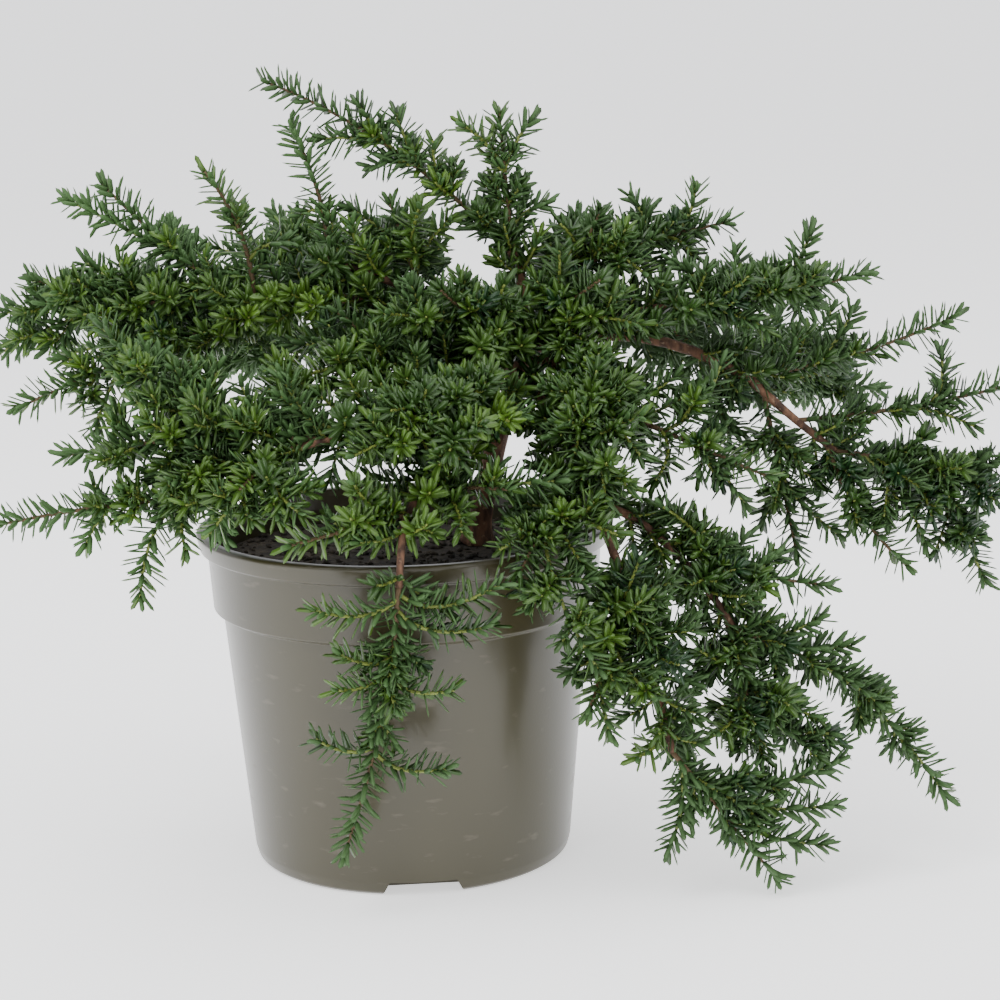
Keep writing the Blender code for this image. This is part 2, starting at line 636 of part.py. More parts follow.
def pot_profile():
    lip_inside = LIP_RADIUS - LIP_WIDTH
    return [
        (0, 0),
        (POT_BASE_RADIUS, 0),
        (POT_BASE_RADIUS + 2.4, 1.6),
        (POT_CORNER_RADIUS, POT_CORNER_HEIGHT),
        (POT_STEP_RADIUS, POT_STEP_HEIGHT),
        (BAND_LOW_RADIUS, BAND_LOW_HEIGHT),
        (BAND_TOP_RADIUS, LIP_LOW_HEIGHT - 0.4),
        (LIP_LOW_RADIUS, LIP_LOW_HEIGHT),
        (LIP_RADIUS, POT_HEIGHT - LIP_EDGE),
        (LIP_RADIUS - LIP_EDGE, POT_HEIGHT),
        (lip_inside, POT_HEIGHT),
        (BAND_TOP_RADIUS - POT_WALL, LIP_LOW_HEIGHT),
        (BAND_LOW_RADIUS - POT_WALL, BAND_LOW_HEIGHT + POT_WALL),
        (POT_STEP_RADIUS - POT_WALL, POT_STEP_HEIGHT),
        (POT_CORNER_RADIUS - POT_WALL, POT_FLOOR),
        (0, POT_FLOOR),
    ]


def notch_cutter(turn):
    """A cutter for one drain notch, narrower at its top than at the floor."""
    inner = POT_BASE_RADIUS - NOTCH_DEPTH
    outer = POT_BASE_RADIUS + NOTCH_REACH
    out = vec(math.cos(turn), math.sin(turn), 0)
    across = vec(-math.sin(turn), math.cos(turn), 0)
    corners = []
    for radius in (inner, outer):
        for width, height in ((NOTCH_FOOT_WIDTH, -2.0), (NOTCH_TOP_WIDTH, NOTCH_HEIGHT)):
            for side in (-0.5, 0.5):
                corners.append(out * radius + across * side * width + vec(0, 0, height))
    faces = [(0, 2, 3, 1), (4, 5, 7, 6), (0, 1, 5, 4), (2, 6, 7, 3), (0, 4, 6, 2), (1, 3, 7, 5)]
    cutter = new_object("notch_cutter", corners, faces, None)
    cutter.hide_render = True
    cutter.display_type = "WIRE"
    return cutter


def make_pot(material):
    pot = turned("pot", pot_profile(), POT_SEGMENTS, material)
    for k in range(NOTCH_COUNT):
        cut = pot.modifiers.new(f"notch_{k}", "BOOLEAN")
        cut.operation = "DIFFERENCE"
        cut.object = notch_cutter(NOTCH_TURN + 2 * math.pi * k / NOTCH_COUNT)
    return pot


def make_compost(material):
    top_share = (COMPOST_TOP - BAND_LOW_HEIGHT) / (LIP_LOW_HEIGHT - BAND_LOW_HEIGHT)
    top_radius = BAND_LOW_RADIUS + (BAND_TOP_RADIUS - BAND_LOW_RADIUS) * top_share
    inset = POT_WALL + GAP
    profile = [
        (0, POT_FLOOR + GAP),
        (POT_CORNER_RADIUS - inset, POT_FLOOR + GAP),
        (POT_STEP_RADIUS - inset, POT_STEP_HEIGHT + GAP),
        (BAND_LOW_RADIUS - inset - GAP, BAND_LOW_HEIGHT + POT_WALL + GAP),
        (top_radius - inset - GAP, COMPOST_TOP),
        (0, COMPOST_TOP),
    ]
    return turned("compost", profile, POT_SEGMENTS, material)


# The shrub


def make_trunk(path, taken, material):
    """The trunk on level rings, from its flat foot and root flare to the fork."""
    shares = [0, FLARE_SHARE / 3, FLARE_SHARE, 0.35, 0.6, 0.8, 1.0]
    corners = []
    for share in shares:
        point, _ = place_on(path, share)
        radius = TRUNK_FOOT_RADIUS + (TRUNK_FORK_RADIUS - TRUNK_FOOT_RADIUS) * share
        radius += (FLARE_RADIUS - TRUNK_FOOT_RADIUS) * max(0.0, 1 - share / FLARE_SHARE) ** 2
        for k in range(TRUNK_SIDES):
            turn = 2 * math.pi * k / TRUNK_SIDES
            corners.append(point + radius * vec(math.cos(turn), math.sin(turn), 0))
    faces = []
    for i in range(len(shares) - 1):
        for k in range(TRUNK_SIDES):
            n = (k + 1) % TRUNK_SIDES
            low, high = i * TRUNK_SIDES, (i + 1) * TRUNK_SIDES
            faces.append((low + k, low + n, high + n, high + k))
    top = (len(shares) - 1) * TRUNK_SIDES
    faces.append(tuple(reversed(range(TRUNK_SIDES))))
    faces.append(tuple(top + k for k in range(TRUNK_SIDES)))
    taken.add("trunk", (corners, faces))
    obj = new_object("trunk", corners, faces, material)
    obj.data.shade_smooth()
    obj.data.set_sharp_from_angle(angle=math.radians(40))


def make_boughs(paths, taken, material):
    for name, _, _, _, _, radii in BOUGHS:
        steps = 5
        run = clear_start(name, paths[name], radii, BOUGH_SIDES, taken, steps)
        piece = tube(run, taper(radii, steps), BOUGH_SIDES)
        taken.add(name, piece)
        obj = new_object(name, *piece, material)
        obj.data.shade_smooth()
        obj.data.set_sharp_from_angle(angle=math.radians(50))


def place_share(path, point):
    """The share of a path's length at its point nearest to a given point."""
    fine = cut_path(path, 0.0, steps=100)
    return float(np.argmin(np.linalg.norm(fine - point, axis=1))) / 100


def leafless_share(path, stands_out):
    """The share of a path that is twig, when the leaf at its end stands out past its tip."""
    whole = length_of(path)
    return min(1.0, max(SHORTEST_TWIG, whole + stands_out - LEAF_LENGTH) / whole)


def solid_twigs(arms, shoots, taken):
    """The solid twigs of each mass: stem, arms, and one side shoot in a few."""
    twigs = {m["name"]: [] for m in MASSES}

    def add(name, run, radii):
        radii = taper(radii, len(run) - 1)
        if taken.meets(name, twig(run, radii, GAP)):
            print("twig left out of", name, np.round(run[-1]))
            return
        twigs[name].append((run, radii))
        taken.add(name, twig(run, radii))

    for m in MASSES:
        stem_radii = (STEM_FOOT_RADIUS, STEM_TIP_RADIUS)
        stem = arms[m["name"]][0]
        stem = cut_path(stem, 0.0, leafless_share(stem, TIP_STANDS_OUT), STEM_STEPS)
        add(m["name"], clear_start(m["name"], stem, stem_radii, TWIG_SIDES, taken), stem_radii)
    for m in MASSES:
        name = m["name"]
        stem = twigs[name][0][0]
        stem_start = place_share(arms[name][0], stem[0])
        for arm, (share, _) in zip(arms[name][1:], m["arms"]):
            if share < stem_start:
                foot, _ = place_on(stem, 0.02)
                middle = arm[STEM_STEPS // 2]
                arm = curve(foot, middle * 2 - (foot + arm[-1]) / 2, arm[-1], STEM_STEPS)
            run = cut_path(arm, 0.0, leafless_share(arm, TIP_STANDS_OUT), ARM_SOLID_STEPS)
            add(name, run, (ARM_FOOT_RADIUS, ARM_TIP_RADIUS))
    for m in MASSES:
        name = m["name"]
        for shoot in shoots[name][::SOLID_SHOOT_SHARE]:
            run = cut_path(shoot, 0.0, leafless_share(shoot, SHOOT_STANDS_OUT), 1)
            add(name, run, (SHOOT_RADIUS, SHOOT_RADIUS))
    return twigs


def leaf_places(run, start):
    """Foot, heading and broad direction of each leaf along a twig.

    Leaves leave by the middles of the twig's three faces in turn.
    """
    whole = length_of(run)
    count = int(whole / LEAF_SPACING + 0.5)
    frames = ring_frames(run)
    places = []
    for k in range(count):
        share = (k + 0.6) / count * 0.9
        foot, along = place_on(run, share)
        a, b = frames[min(int(share * (len(run) - 1)), len(run) - 2)]
        turn = math.pi / 2 + math.pi / 3 + 2 * math.pi / 3 * (k + start)
        out = math.cos(turn) * a + math.sin(turn) * b
        heading = unit(math.cos(LEAF_SPREAD) * along + math.sin(LEAF_SPREAD) * unit(out - along * (out @ along)))
        places.append((foot, heading, unit(np.cross(heading, along))))
    return places


def meets_own(piece, placed):
    """True if a leaf cuts another leaf of its own mass."""
    corners, faces = piece
    tree = BVHTree.FromPolygons([tuple(c) for c in corners], faces)
    return any(tree.overlap(other) for other in placed)


def make_foliage(twigs, taken, material):
    """Sets the leaves on each mass's twigs and joins the mass to one body."""
    total = 0
    for m in MASSES:
        name = m["name"]
        pieces = [twig(run, radii) for run, radii in twigs[name]]
        total += len(pieces)
        leaves = []
        trees = []
        for number, (run, _) in enumerate(twigs[name]):
            for foot, heading, across in leaf_places(run, number):
                tip = foot + LEAF_LENGTH * heading
                if tip[2] < LEAF_FLOOR or meets_pot(np.array([tip, (foot + tip) / 2]), 2.0):
                    continue
                piece = leaf(foot, heading, across)
                if taken.meets(name, leaf(foot, heading, across, GAP)) or meets_own(piece, trees):
                    continue
                taken.add(name, piece)
                trees.append(BVHTree.FromPolygons([tuple(c) for c in piece[0]], piece[1]))
                leaves.append(piece)
        total += len(leaves)
        body = join_pieces(name, pieces + leaves, material, "EXACT")
        if not keep_body(body):
            print("open body", name)
    print("leaves", total)


def main():
    for obj in list(bpy.data.objects):
        bpy.data.objects.remove(obj)
    plastic = make_material("pot_plastic", (0.125, 0.11, 0.075), 0.42)
    soil = make_material("compost", (0.012, 0.010, 0.008), 0.95)
    bark = make_material("bark", (0.16, 0.075, 0.04), 0.8)
    green = make_material("foliage", (0.022, 0.085, 0.022), 0.45)
    limbs, arms, shoots = grow()
    taken = Taken()
    make_pot(plastic)
    make_compost(soil)
    make_trunk(limbs["trunk"], taken, bark)
    make_boughs(limbs, taken, bark)
    twigs = solid_twigs(arms, shoots, taken)
    make_foliage(twigs, taken, green)


main()
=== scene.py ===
"""Looks of a mountain plum pine in a plastic nursery pot, built round its solids.

The shrub grows again by the rule of the solids: limbs, then for each mass of foliage a
stem, its arms and their side shoots, here carried on to finer twigs and to leaves of
true size. Tables and growth are in millimetres, and the meshes are built in metres.
"""

import math
import random

import bpy
import numpy as np
from bpy.props import FloatProperty, FloatVectorProperty, IntProperty, PointerProperty
from mathutils import Matrix, Vector


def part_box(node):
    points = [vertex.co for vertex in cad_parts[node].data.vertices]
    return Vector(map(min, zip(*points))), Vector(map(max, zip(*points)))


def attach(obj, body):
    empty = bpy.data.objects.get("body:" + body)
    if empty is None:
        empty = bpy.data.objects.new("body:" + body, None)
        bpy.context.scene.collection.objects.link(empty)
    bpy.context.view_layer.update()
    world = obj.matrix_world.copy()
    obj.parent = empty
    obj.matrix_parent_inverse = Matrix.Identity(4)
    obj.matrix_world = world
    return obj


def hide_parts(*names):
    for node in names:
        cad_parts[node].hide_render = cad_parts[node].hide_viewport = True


bl_info = {
    "name": "Potted mountain plum pine",
    "version": (1, 0, 0),
    "blender": (4, 5, 0),
    "location": "View3D > Sidebar > Plum pine",
    "description": "Builds the pot, bark, twigs, leaves and studio of a potted mountain plum pine",
    "category": "Add Mesh",
}

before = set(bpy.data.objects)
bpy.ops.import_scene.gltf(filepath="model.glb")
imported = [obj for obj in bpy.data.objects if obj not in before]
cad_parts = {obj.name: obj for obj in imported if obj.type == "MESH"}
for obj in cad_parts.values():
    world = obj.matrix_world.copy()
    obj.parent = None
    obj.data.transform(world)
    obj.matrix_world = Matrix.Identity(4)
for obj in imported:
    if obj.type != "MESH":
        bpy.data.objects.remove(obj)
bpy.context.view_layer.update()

MM = 0.001

# Pot, from the solids
POT_LOW, POT_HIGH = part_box("pot")
POT_HEIGHT = POT_HIGH.z / MM
LIP_RADIUS = POT_HIGH.x / MM
POT_STEP_RADIUS = LIP_RADIUS - 11.0
BAND_TOP_RADIUS = LIP_RADIUS - 5.0
COMPOST_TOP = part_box("compost")[1].z / MM

# Trunk, leaning from its foot on the compost to the fork
TRUNK_FOOT = (34.0, 22.0, 139.3)
TRUNK_FORK = (58.0, 6.0, 231.0)
TRUNK_BOW = (-3.0, 0.0, 0.0)
TRUNK_FOOT_RADIUS = 5.5
TRUNK_FORK_RADIUS = 4.2
FLARE_RADIUS = 8.5
FLARE_SHARE = 0.14

# Boughs: name, the limb that carries it, where on that limb it leaves, its tip,
# how far its middle is bowed from the straight line, its radii at foot and tip
BOUGHS = (
    ("bough_right_arch", "trunk", 1.0, (160, 0, 215), (0, 0, 13), (2.9, 2.1)),
    ("bough_right_arch_end", "bough_right_arch", 1.0, (198, -4, 182), (0, 0, -1), (2.1, 1.6)),
    ("bough_leader", "trunk", 1.0, (52, 5, 277), (3, 0, 0), (2.8, 2.1)),
    ("bough_right_crest", "bough_leader", 0.4, (111, 12, 278), (0, 0, 5), (1.9, 1.4)),
    ("bough_right_shelf", "bough_right_arch", 0.12, (135, -14, 254), (0, 0, 3), (1.9, 1.4)),
    ("bough_left_upper", "trunk", 0.97, (-30, -2, 275), (0, 0, 5), (2.4, 1.5)),
    ("bough_left_lower", "trunk", 0.9, (-72, -8, 257), (0, 0, 15), (2.6, 1.6)),
    ("bough_left_front", "trunk", 0.8, (-30, -78, 207), (0, 0, 12), (2.4, 1.6)),
    ("bough_left_low", "bough_left_front", 1.0, (-85, -72, 183), (0, 0, 4), (1.6, 1.3)),
    ("bough_front_fall", "trunk", 0.72, (0, -90, 172), (0, 0, 12), (2.4, 1.9)),
    ("bough_front_rim", "bough_front_fall", 1.0, (-3, -105, 148), (0, -4, 3), (1.8, 1.5)),
    ("bough_cascade", "trunk", 0.88, (86, -58, 165), (0, 0, 9), (2.7, 2.2)),
    ("bough_cascade_low", "bough_cascade", 1.0, (113, -92, 68), (0, -6, 6), (2.1, 1.5)),
    ("bough_cascade_side", "bough_cascade", 0.9, (144, -62, 115), (0, 0, 10), (2.0, 1.5)),
    ("bough_mid_right", "trunk", 0.95, (110, -36, 202), (0, 0, 8), (2.2, 1.5)),
    ("bough_back_left", "trunk", 0.85, (-50, 92, 222), (0, 0, 12), (2.4, 1.5)),
    ("bough_back_mid", "trunk", 0.92, (66, 108, 226), (0, 0, 12), (2.4, 1.5)),
    ("bough_back_right", "bough_right_arch", 0.3, (160, 92, 204), (0, 0, 12), (2.0, 1.4)),
)

# Foliage rule
STEM_STEPS = 8
SHOOT_STEPS = 4
WHORL_SHOOTS = 3
WHORL_SPACING = 20.0
WHORL_SPREAD = 52.0
SHOOT_CLEAR = 3.2
FLAT_SPREAD = 1.25
FLAT_RISE = 0.75
FULL_TURN = 6.28
WHORL_TURN = 2.0944
ROLL_STEP = 1.1
ROLL_SWAY = 0.3
TURN_SWAY = 0.35
SPREAD_SWAY = 10
FIRST_REACH = 0.62
REACH_STEP = 0.19
REACH_RANGE = (0.7, 1.1)
FOOT_SWAY = 3
LOWEST_WHORL = 4
WHORL_SPACING_RANGE = (0.85, 1.15)
LOOK_ROUND = 10
OWN_CLEAR = 1.6
ARM_EASE = 0.45
STEEPEST = 0.15
NEAR_FOOT = 0.001
NEAR_TIP = 0.999

# The pot's outline, which the growth keeps clear of
STEP_HEIGHT = 118.0
BAND_HEIGHT = 146.0
RIM_HEIGHT = 154.5
MOUTH_HEIGHT = 141.0
BODY_TAPER = 0.0945
LOWEST_TWIG = 6

MASSES = []


def vec(x, y, z):
    return np.array((x, y, z), float)


def mass(name, limb, share, tip, bow=(0, 0, 0), reach=30, bare=36, lift=0.25, seed=1, arms=()):
    """A mass of foliage whose stem leaves a limb at a share of its length and runs to tip.

    reach is the length of its side shoots and bare the stretch behind each tip without
    them. lift turns their tips up, or down where it is negative. Each arm leaves the
    stem at a share of its length and runs to a tip of its own.
    """
    MASSES.append(
        {
            "name": f"foliage_{name}",
            "limb": limb,
            "share": share,
            "tip": vec(*tip),
            "bow": vec(*bow),
            "reach": reach,
            "bare": bare,
            "lift": lift,
            "seed": seed,
            "arms": [(at, vec(*end)) for at, end in arms],
        }
    )


mass("right_spray_low", "bough_right_arch_end", 1.0, (292, -6, 155), bow=(0, 0, 3), reach=32, lift=0.0,
     seed=75,
     arms=[(0.3, (265, -16, 121)), (0.12, (236, -24, 141)), (0.55, (283, 6, 176)),
           (0.15, (240, 28, 158))])
mass("right_spray_high", "bough_right_arch_end", 0.55, (292, -2, 213), bow=(0, 0, -3), reach=14,
     bare=50, seed=71,
     arms=[(0.55, (248, 6, 225)), (0.45, (260, -12, 193))])
mass("right_rising", "bough_right_arch", 0.97, (255, 6, 241), bow=(0, 0, -4), reach=12, bare=50,
     seed=22,
     arms=[(0.15, (182, 8, 235)), (0.3, (208, 10, 244)), (0.3, (206, 42, 222))])
mass("right_tuft_out", "bough_right_arch_end", 0.9, (227, -24, 132), bow=(-4, 0, -2), reach=20,
     lift=-0.2, seed=54,
     arms=[(0.35, (203, -26, 163)), (0.3, (220, -8, 150))])
mass("right_tuft_in", "bough_right_arch_end", 0.15, (179, -12, 136), reach=24, lift=-0.2, seed=54,
     arms=[(0.5, (198, -14, 145)), (0.45, (165, -5, 151)), (0.3, (188, -10, 170))])
mass("right_drop", "bough_right_arch", 0.8, (154, 14, 176), reach=18, bare=24, lift=-0.2, seed=7,
     arms=[(0.3, (147, 5, 194))])
mass("right_crest_tip", "bough_right_crest", 1.0, (152, 16, 286), reach=20, seed=2,
     arms=[(0.4, (137, 16, 302)), (0.04, (108, 20, 298)), (0.3, (133, 0, 273)), (0.3, (128, 52, 278))])
mass("right_shelf_tip", "bough_right_shelf", 1.0, (211, -10, 264), bow=(0, 0, -2), reach=26, seed=7,
     arms=[(0.4, (187, -2, 282)), (0.1, (152, -10, 276)), (0.05, (163, -24, 241)),
           (0.5, (175, -22, 259)), (0.02, (125, -2, 270)), (0.2, (165, 38, 258)),
           (0.4, (195, 28, 258))])
mass("crest_inner", "bough_right_crest", 0.45, (92, 4, 292), reach=22, bare=26, seed=36,
     arms=[(0.3, (115, -16, 262)), (0.2, (74, -5, 289)), (0.3, (88, 48, 275)), (0.15, (68, 40, 268))])
mass("leader_top", "bough_leader", 0.95, (48, 5, 338), reach=16, bare=26, seed=74,
     arms=[(0.6, (31, 0, 334)), (0.6, (63, 8, 335)), (0.18, (68, 8, 297))])
mass("arch_tip", "bough_leader", 1.0, (-57, 10, 355), bow=(0, 0, 9), reach=16, bare=60, seed=49,
     arms=[(0.38, (2, 8, 339)), (0.5, (-15, 4, 344)), (0.55, (-32, 16, 328)), (0.3, (18, 2, 327)),
           (0.45, (-10, 10, 315))])
mass("left_crest", "bough_left_upper", 0.55, (-2, 2, 300), reach=24, bare=26, seed=48,
     arms=[(0.2, (25, -8, 293)), (0.4, (-21, 5, 298)), (0.3, (11, -16, 299)), (0.3, (0, 45, 285)),
           (0.12, (18, 42, 268))])
mass("left_thick", "bough_left_lower", 0.94, (-83, -14, 317), bow=(5, 0, 2), reach=12, bare=30, seed=38,
     arms=[(0.3, (-47, -8, 285)), (0.45, (-69, -2, 297))])
mass("left_thin", "bough_left_upper", 1.0, (-46, 14, 335), bow=(4, 0, 0), reach=12, bare=50, seed=13,
     arms=[(0.35, (-42, 4, 295))])
mass("left_long", "bough_left_lower", 0.97, (-130, 6, 311), bow=(0, 0, -3), reach=16, bare=44, seed=33,
     arms=[(0.3, (-148, 16, 304)), (0.45, (-109, 0, 287)), (0.2, (-92, -14, 261)),
           (0.3, (-105, 45, 286))])
mass("left_outer", "bough_left_lower", 1.0, (-163, 2, 270), bow=(0, 0, -4), reach=24, bare=30, seed=34,
     arms=[(0.5, (-187, 12, 252)), (0.6, (-157, -4, 259)), (0.45, (-188, 20, 231)),
           (0.3, (-140, 10, 276)), (0.3, (-128, 50, 258))])
mass("left_cluster", "bough_left_lower", 0.75, (-171, -12, 214), bow=(0, 0, 3), reach=26, seed=46,
     arms=[(0.6, (-136, -20, 204)), (0.5, (-151, -10, 235)), (0.35, (-93, -30, 218)),
           (0.4, (-122, 38, 214))])
mass("left_spray", "bough_left_front", 1.0, (-146, -52, 199), bow=(0, 0, 4), reach=34, seed=36,
     arms=[(0.3, (-130, -50, 258)), (0.3, (-94, -60, 228)), (0.15, (-68, -70, 231))])
mass("left_low_out", "bough_left_low", 1.0, (-180, -66, 171), bow=(0, 0, 2), reach=18, bare=55, seed=41,
     arms=[(0.1, (-114, -78, 141)), (0.4, (-137, -70, 163)), (0.05, (-93, -84, 162))])
mass("left_rosettes", "bough_left_low", 0.4, (-68, -104, 192), reach=24, bare=20, seed=4,
     arms=[(0.3, (-43, -110, 182)), (0.2, (-82, -98, 172))])
mass("mid_left_up", "bough_left_front", 0.45, (-28, -25, 256), reach=24, bare=26, seed=13,
     arms=[(0.3, (-48, -18, 240)), (0.2, (-65, -60, 222)), (0.3, (-10, -30, 240))])
mass("centre_crown", "trunk", 0.93, (19, -40, 265), reach=28, bare=24, seed=41,
     arms=[(0.3, (47, -34, 266)), (0.4, (-6, -45, 256)), (0.2, (35, -50, 240))])
mass("crown_right", "bough_leader", 0.15, (89, -34, 267), reach=24, bare=24, seed=21,
     arms=[(0.3, (72, -24, 279)), (0.3, (106, -36, 247)), (0.15, (88, -40, 235))])
mass("centre_front", "bough_front_fall", 0.25, (23, -80, 225), reach=26, bare=20, seed=70,
     arms=[(0.3, (46, -78, 213)), (0.4, (-4, -96, 222)), (0.35, (20, -105, 206)),
           (0.3, (-20, -100, 204))])
mass("front_node_left", "bough_front_fall", 0.95, (-48, -112, 169), reach=16, bare=30, seed=56,
     arms=[(0.1, (-20, -112, 194)), (0.2, (-22, -114, 180))])
mass("front_node_right", "bough_front_fall", 0.8, (45, -92, 186), reach=16, bare=30, seed=37,
     arms=[(0.15, (24, -104, 171)), (0.3, (67, -86, 188))])
mass("front_cascade", "bough_front_rim", 1.0, (-30, -101, 30), bow=(4, 0, 0), reach=16, bare=60,
     lift=-0.2, seed=4,
     arms=[(0.04, (-39, -112, 141)), (0.02, (39, -110, 149)), (0.08, (36, -112, 132)),
           (0.3, (-31, -112, 106)), (0.25, (-28, -113, 122)), (0.32, (19, -110, 104)),
           (0.58, (-40, -108, 84)), (0.6, (15, -108, 69))])
mass("rim_right", "bough_cascade", 0.75, (48, -106, 153), bow=(0, 0, 4), reach=22, bare=24, seed=23,
     arms=[(0.6, (80, -110, 111)), (0.5, (40, -100, 162)), (0.4, (74, -100, 156)),
           (0.3, (90, -96, 166))])
mass("mid_right_spray", "bough_mid_right", 1.0, (161, -52, 180), reach=30, seed=17,
     arms=[(0.1, (143, -30, 228)), (0.35, (150, -50, 168)), (0.1, (110, -60, 182))])
mass("mid_right_inner", "bough_mid_right", 0.5, (82, -66, 219), reach=26, bare=20, seed=40,
     arms=[(0.3, (98, -55, 223)), (0.3, (74, -74, 197)), (0.4, (102, -76, 196)),
           (0.35, (86, -88, 179))])
mass("cascade_upper", "bough_cascade_side", 0.6, (186, -50, 130), reach=20, seed=65,
     arms=[(0.25, (166, -50, 145)), (0.15, (151, -45, 152)), (0.2, (125, -60, 164)),
           (0.05, (111, -72, 173)), (0.1, (123, -78, 139))])
mass("cascade_right", "bough_cascade_side", 1.0, (212, -50, 81), reach=22, bare=40, lift=-0.1, seed=14,
     arms=[(0.3, (198, -50, 102)), (0.15, (183, -56, 117)), (0.6, (240, -58, 32)),
           (0.5, (208, -66, 79))])
mass("cascade_inner", "bough_cascade_side", 0.9, (153, -74, 67), reach=28, bare=26, lift=-0.1, seed=6,
     arms=[(0.3, (126, -84, 111)), (0.4, (180, -76, 76)), (0.5, (169, -60, 81)), (0.6, (131, -92, 75)),
           (0.7, (192, -66, 61))])
mass("cascade_bottom", "bough_cascade_low", 1.0, (159, -88, 7), reach=20, bare=40, lift=-0.2, seed=63,
     arms=[(0.06, (111, -92, 24)), (0.3, (185, -80, 38)), (0.5, (180, -84, 21)), (0.2, (188, -72, 55))])
mass("cascade_face", "bough_cascade_low", 0.3, (76, -108, 92), reach=28, bare=24, lift=-0.1, seed=1,
     arms=[(0.2, (99, -104, 139)), (0.3, (83, -106, 123)), (0.4, (106, -108, 96)),
           (0.3, (122, -84, 125)), (0.7, (85, -106, 81)), (0.15, (99, -98, 155))])
mass("back_left_out", "bough_back_left", 1.0, (-150, 130, 232), reach=36, seed=2,
     arms=[(0.3, (-110, 165, 205)), (0.4, (-120, 120, 262)), (0.2, (-72, 152, 228)),
           (0.15, (-100, 98, 238)), (0.55, (-160, 100, 222)), (0.5, (-130, 160, 235))])
mass("back_left_up", "bough_back_left", 0.6, (-60, 125, 285), reach=34, seed=1,
     arms=[(0.3, (-20, 150, 262)), (0.2, (-10, 95, 280)), (0.4, (-50, 160, 272)),
           (0.3, (-92, 105, 272)), (0.15, (10, 122, 262)), (0.1, (-20, 75, 262))])
mass("back_mid_out", "bough_back_mid", 1.0, (95, 190, 215), reach=36, seed=10,
     arms=[(0.3, (45, 185, 235)), (0.3, (80, 165, 262)), (0.2, (30, 150, 200)), (0.4, (60, 200, 215)),
           (0.35, (125, 170, 222)), (0.15, (100, 130, 238)), (0.5, (112, 180, 238)),
           (0.1, (25, 120, 220))])
mass("back_right_out", "bough_back_right", 1.0, (240, 120, 190), reach=36, seed=22,
     arms=[(0.3, (200, 160, 205)), (0.3, (215, 110, 232)), (0.4, (225, 150, 195)),
           (0.2, (165, 140, 215)), (0.5, (205, 90, 205)), (0.12, (190, 125, 228))])


def unit(v):
    return v / np.linalg.norm(v)


def curve(start, control, tip, steps):
    """Points of a quadratic curve from start to tip."""
    u = np.linspace(0, 1, steps + 1)[:, None]
    return (1 - u) ** 2 * start + 2 * u * (1 - u) * control + u * u * tip


def bowed(start, tip, bow):
    """A curve whose middle lies bow away from the straight line."""
    return curve(start, (start + tip) / 2 + 2 * bow, tip, STEM_STEPS)


def length_of(path):
    return np.linalg.norm(np.diff(path, axis=0), axis=1).sum()


def place_on(path, share):
    """The point and the direction at a share of a path's length."""
    runs = np.linalg.norm(np.diff(path, axis=0), axis=1)
    reached = np.concatenate(([0], np.cumsum(runs)))
    along = share * reached[-1]
    i = min(np.searchsorted(reached, along, side="right") - 1, len(runs) - 1)
    step = path[i + 1] - path[i]
    return path[i] + step * (along - reached[i]) / runs[i], step / runs[i]


def limb_paths():
    """The middle line of the trunk and of each bough."""
    paths = {"trunk": bowed(vec(*TRUNK_FOOT), vec(*TRUNK_FORK), vec(*TRUNK_BOW))}
    for name, carrier, share, tip, bow, _ in BOUGHS:
        start, _ = place_on(paths[carrier], share)
        paths[name] = bowed(start, vec(*tip), vec(*bow))
    return paths


def arm_paths(m, paths):
    """The middle lines of a mass's stem and arms, the stem first."""
    start, _ = place_on(paths[m["limb"]], m["share"])
    stem = bowed(start, m["tip"], m["bow"])
    arms = [stem]
    for share, tip in m["arms"]:
        foot, along = place_on(stem, share)
        span = np.linalg.norm(tip - foot)
        control = foot + ARM_EASE * span * unit(along + (tip - foot) / span)
        arms.append(curve(foot, control, tip, STEM_STEPS))
    return arms


def points_along(lines, step=4.0):
    """Points every few millimetres along several paths."""
    found = []
    for path in lines:
        for a, b in zip(path[:-1], path[1:]):
            count = max(1, int(np.linalg.norm(b - a) / step))
            found.append(a + (b - a) * np.linspace(0, 1, count, endpoint=False)[:, None])
        found.append(path[-1:])
    return np.concatenate(found)


def meets_pot(path, margin=4.0):
    """True where a path comes too near the pot, the compost or the floor."""
    radius = np.hypot(path[:, 0], path[:, 1])
    height = path[:, 2]
    body = POT_STEP_RADIUS - (STEP_HEIGHT - height) * BODY_TAPER
    wall = np.where(height < BAND_HEIGHT, BAND_TOP_RADIUS, LIP_RADIUS)
    wall = np.where(height < STEP_HEIGHT, body, wall)
    beside = (height < RIM_HEIGHT + margin) & (radius < wall + margin)
    in_mouth = (radius < POT_STEP_RADIUS - margin) & (height > MOUTH_HEIGHT + margin)
    return bool((beside & ~in_mouth).any()) or bool((height < LOWEST_TWIG).any())


def cross_axes(along):
    """A sideways and an upward direction square to a twig."""
    side = np.cross(along, (0, 0, 1))
    side = unit(side) if np.linalg.norm(side) > STEEPEST else vec(1, 0, 0)
    return side, np.cross(side, along)


def spread_heading(along, turn, spread, wide=1.0, high=1.0):
    """A direction that leaves a twig at an angle, turned round it."""
    side, up = cross_axes(along)
    out = math.cos(turn) * side * wide + math.sin(turn) * up * high
    return unit(math.cos(spread) * along + math.sin(spread) * out)


def nearest(points, probes):
    """The least distance between two sets of points."""
    return np.linalg.norm(points[None] - probes[:, None], axis=2).min()


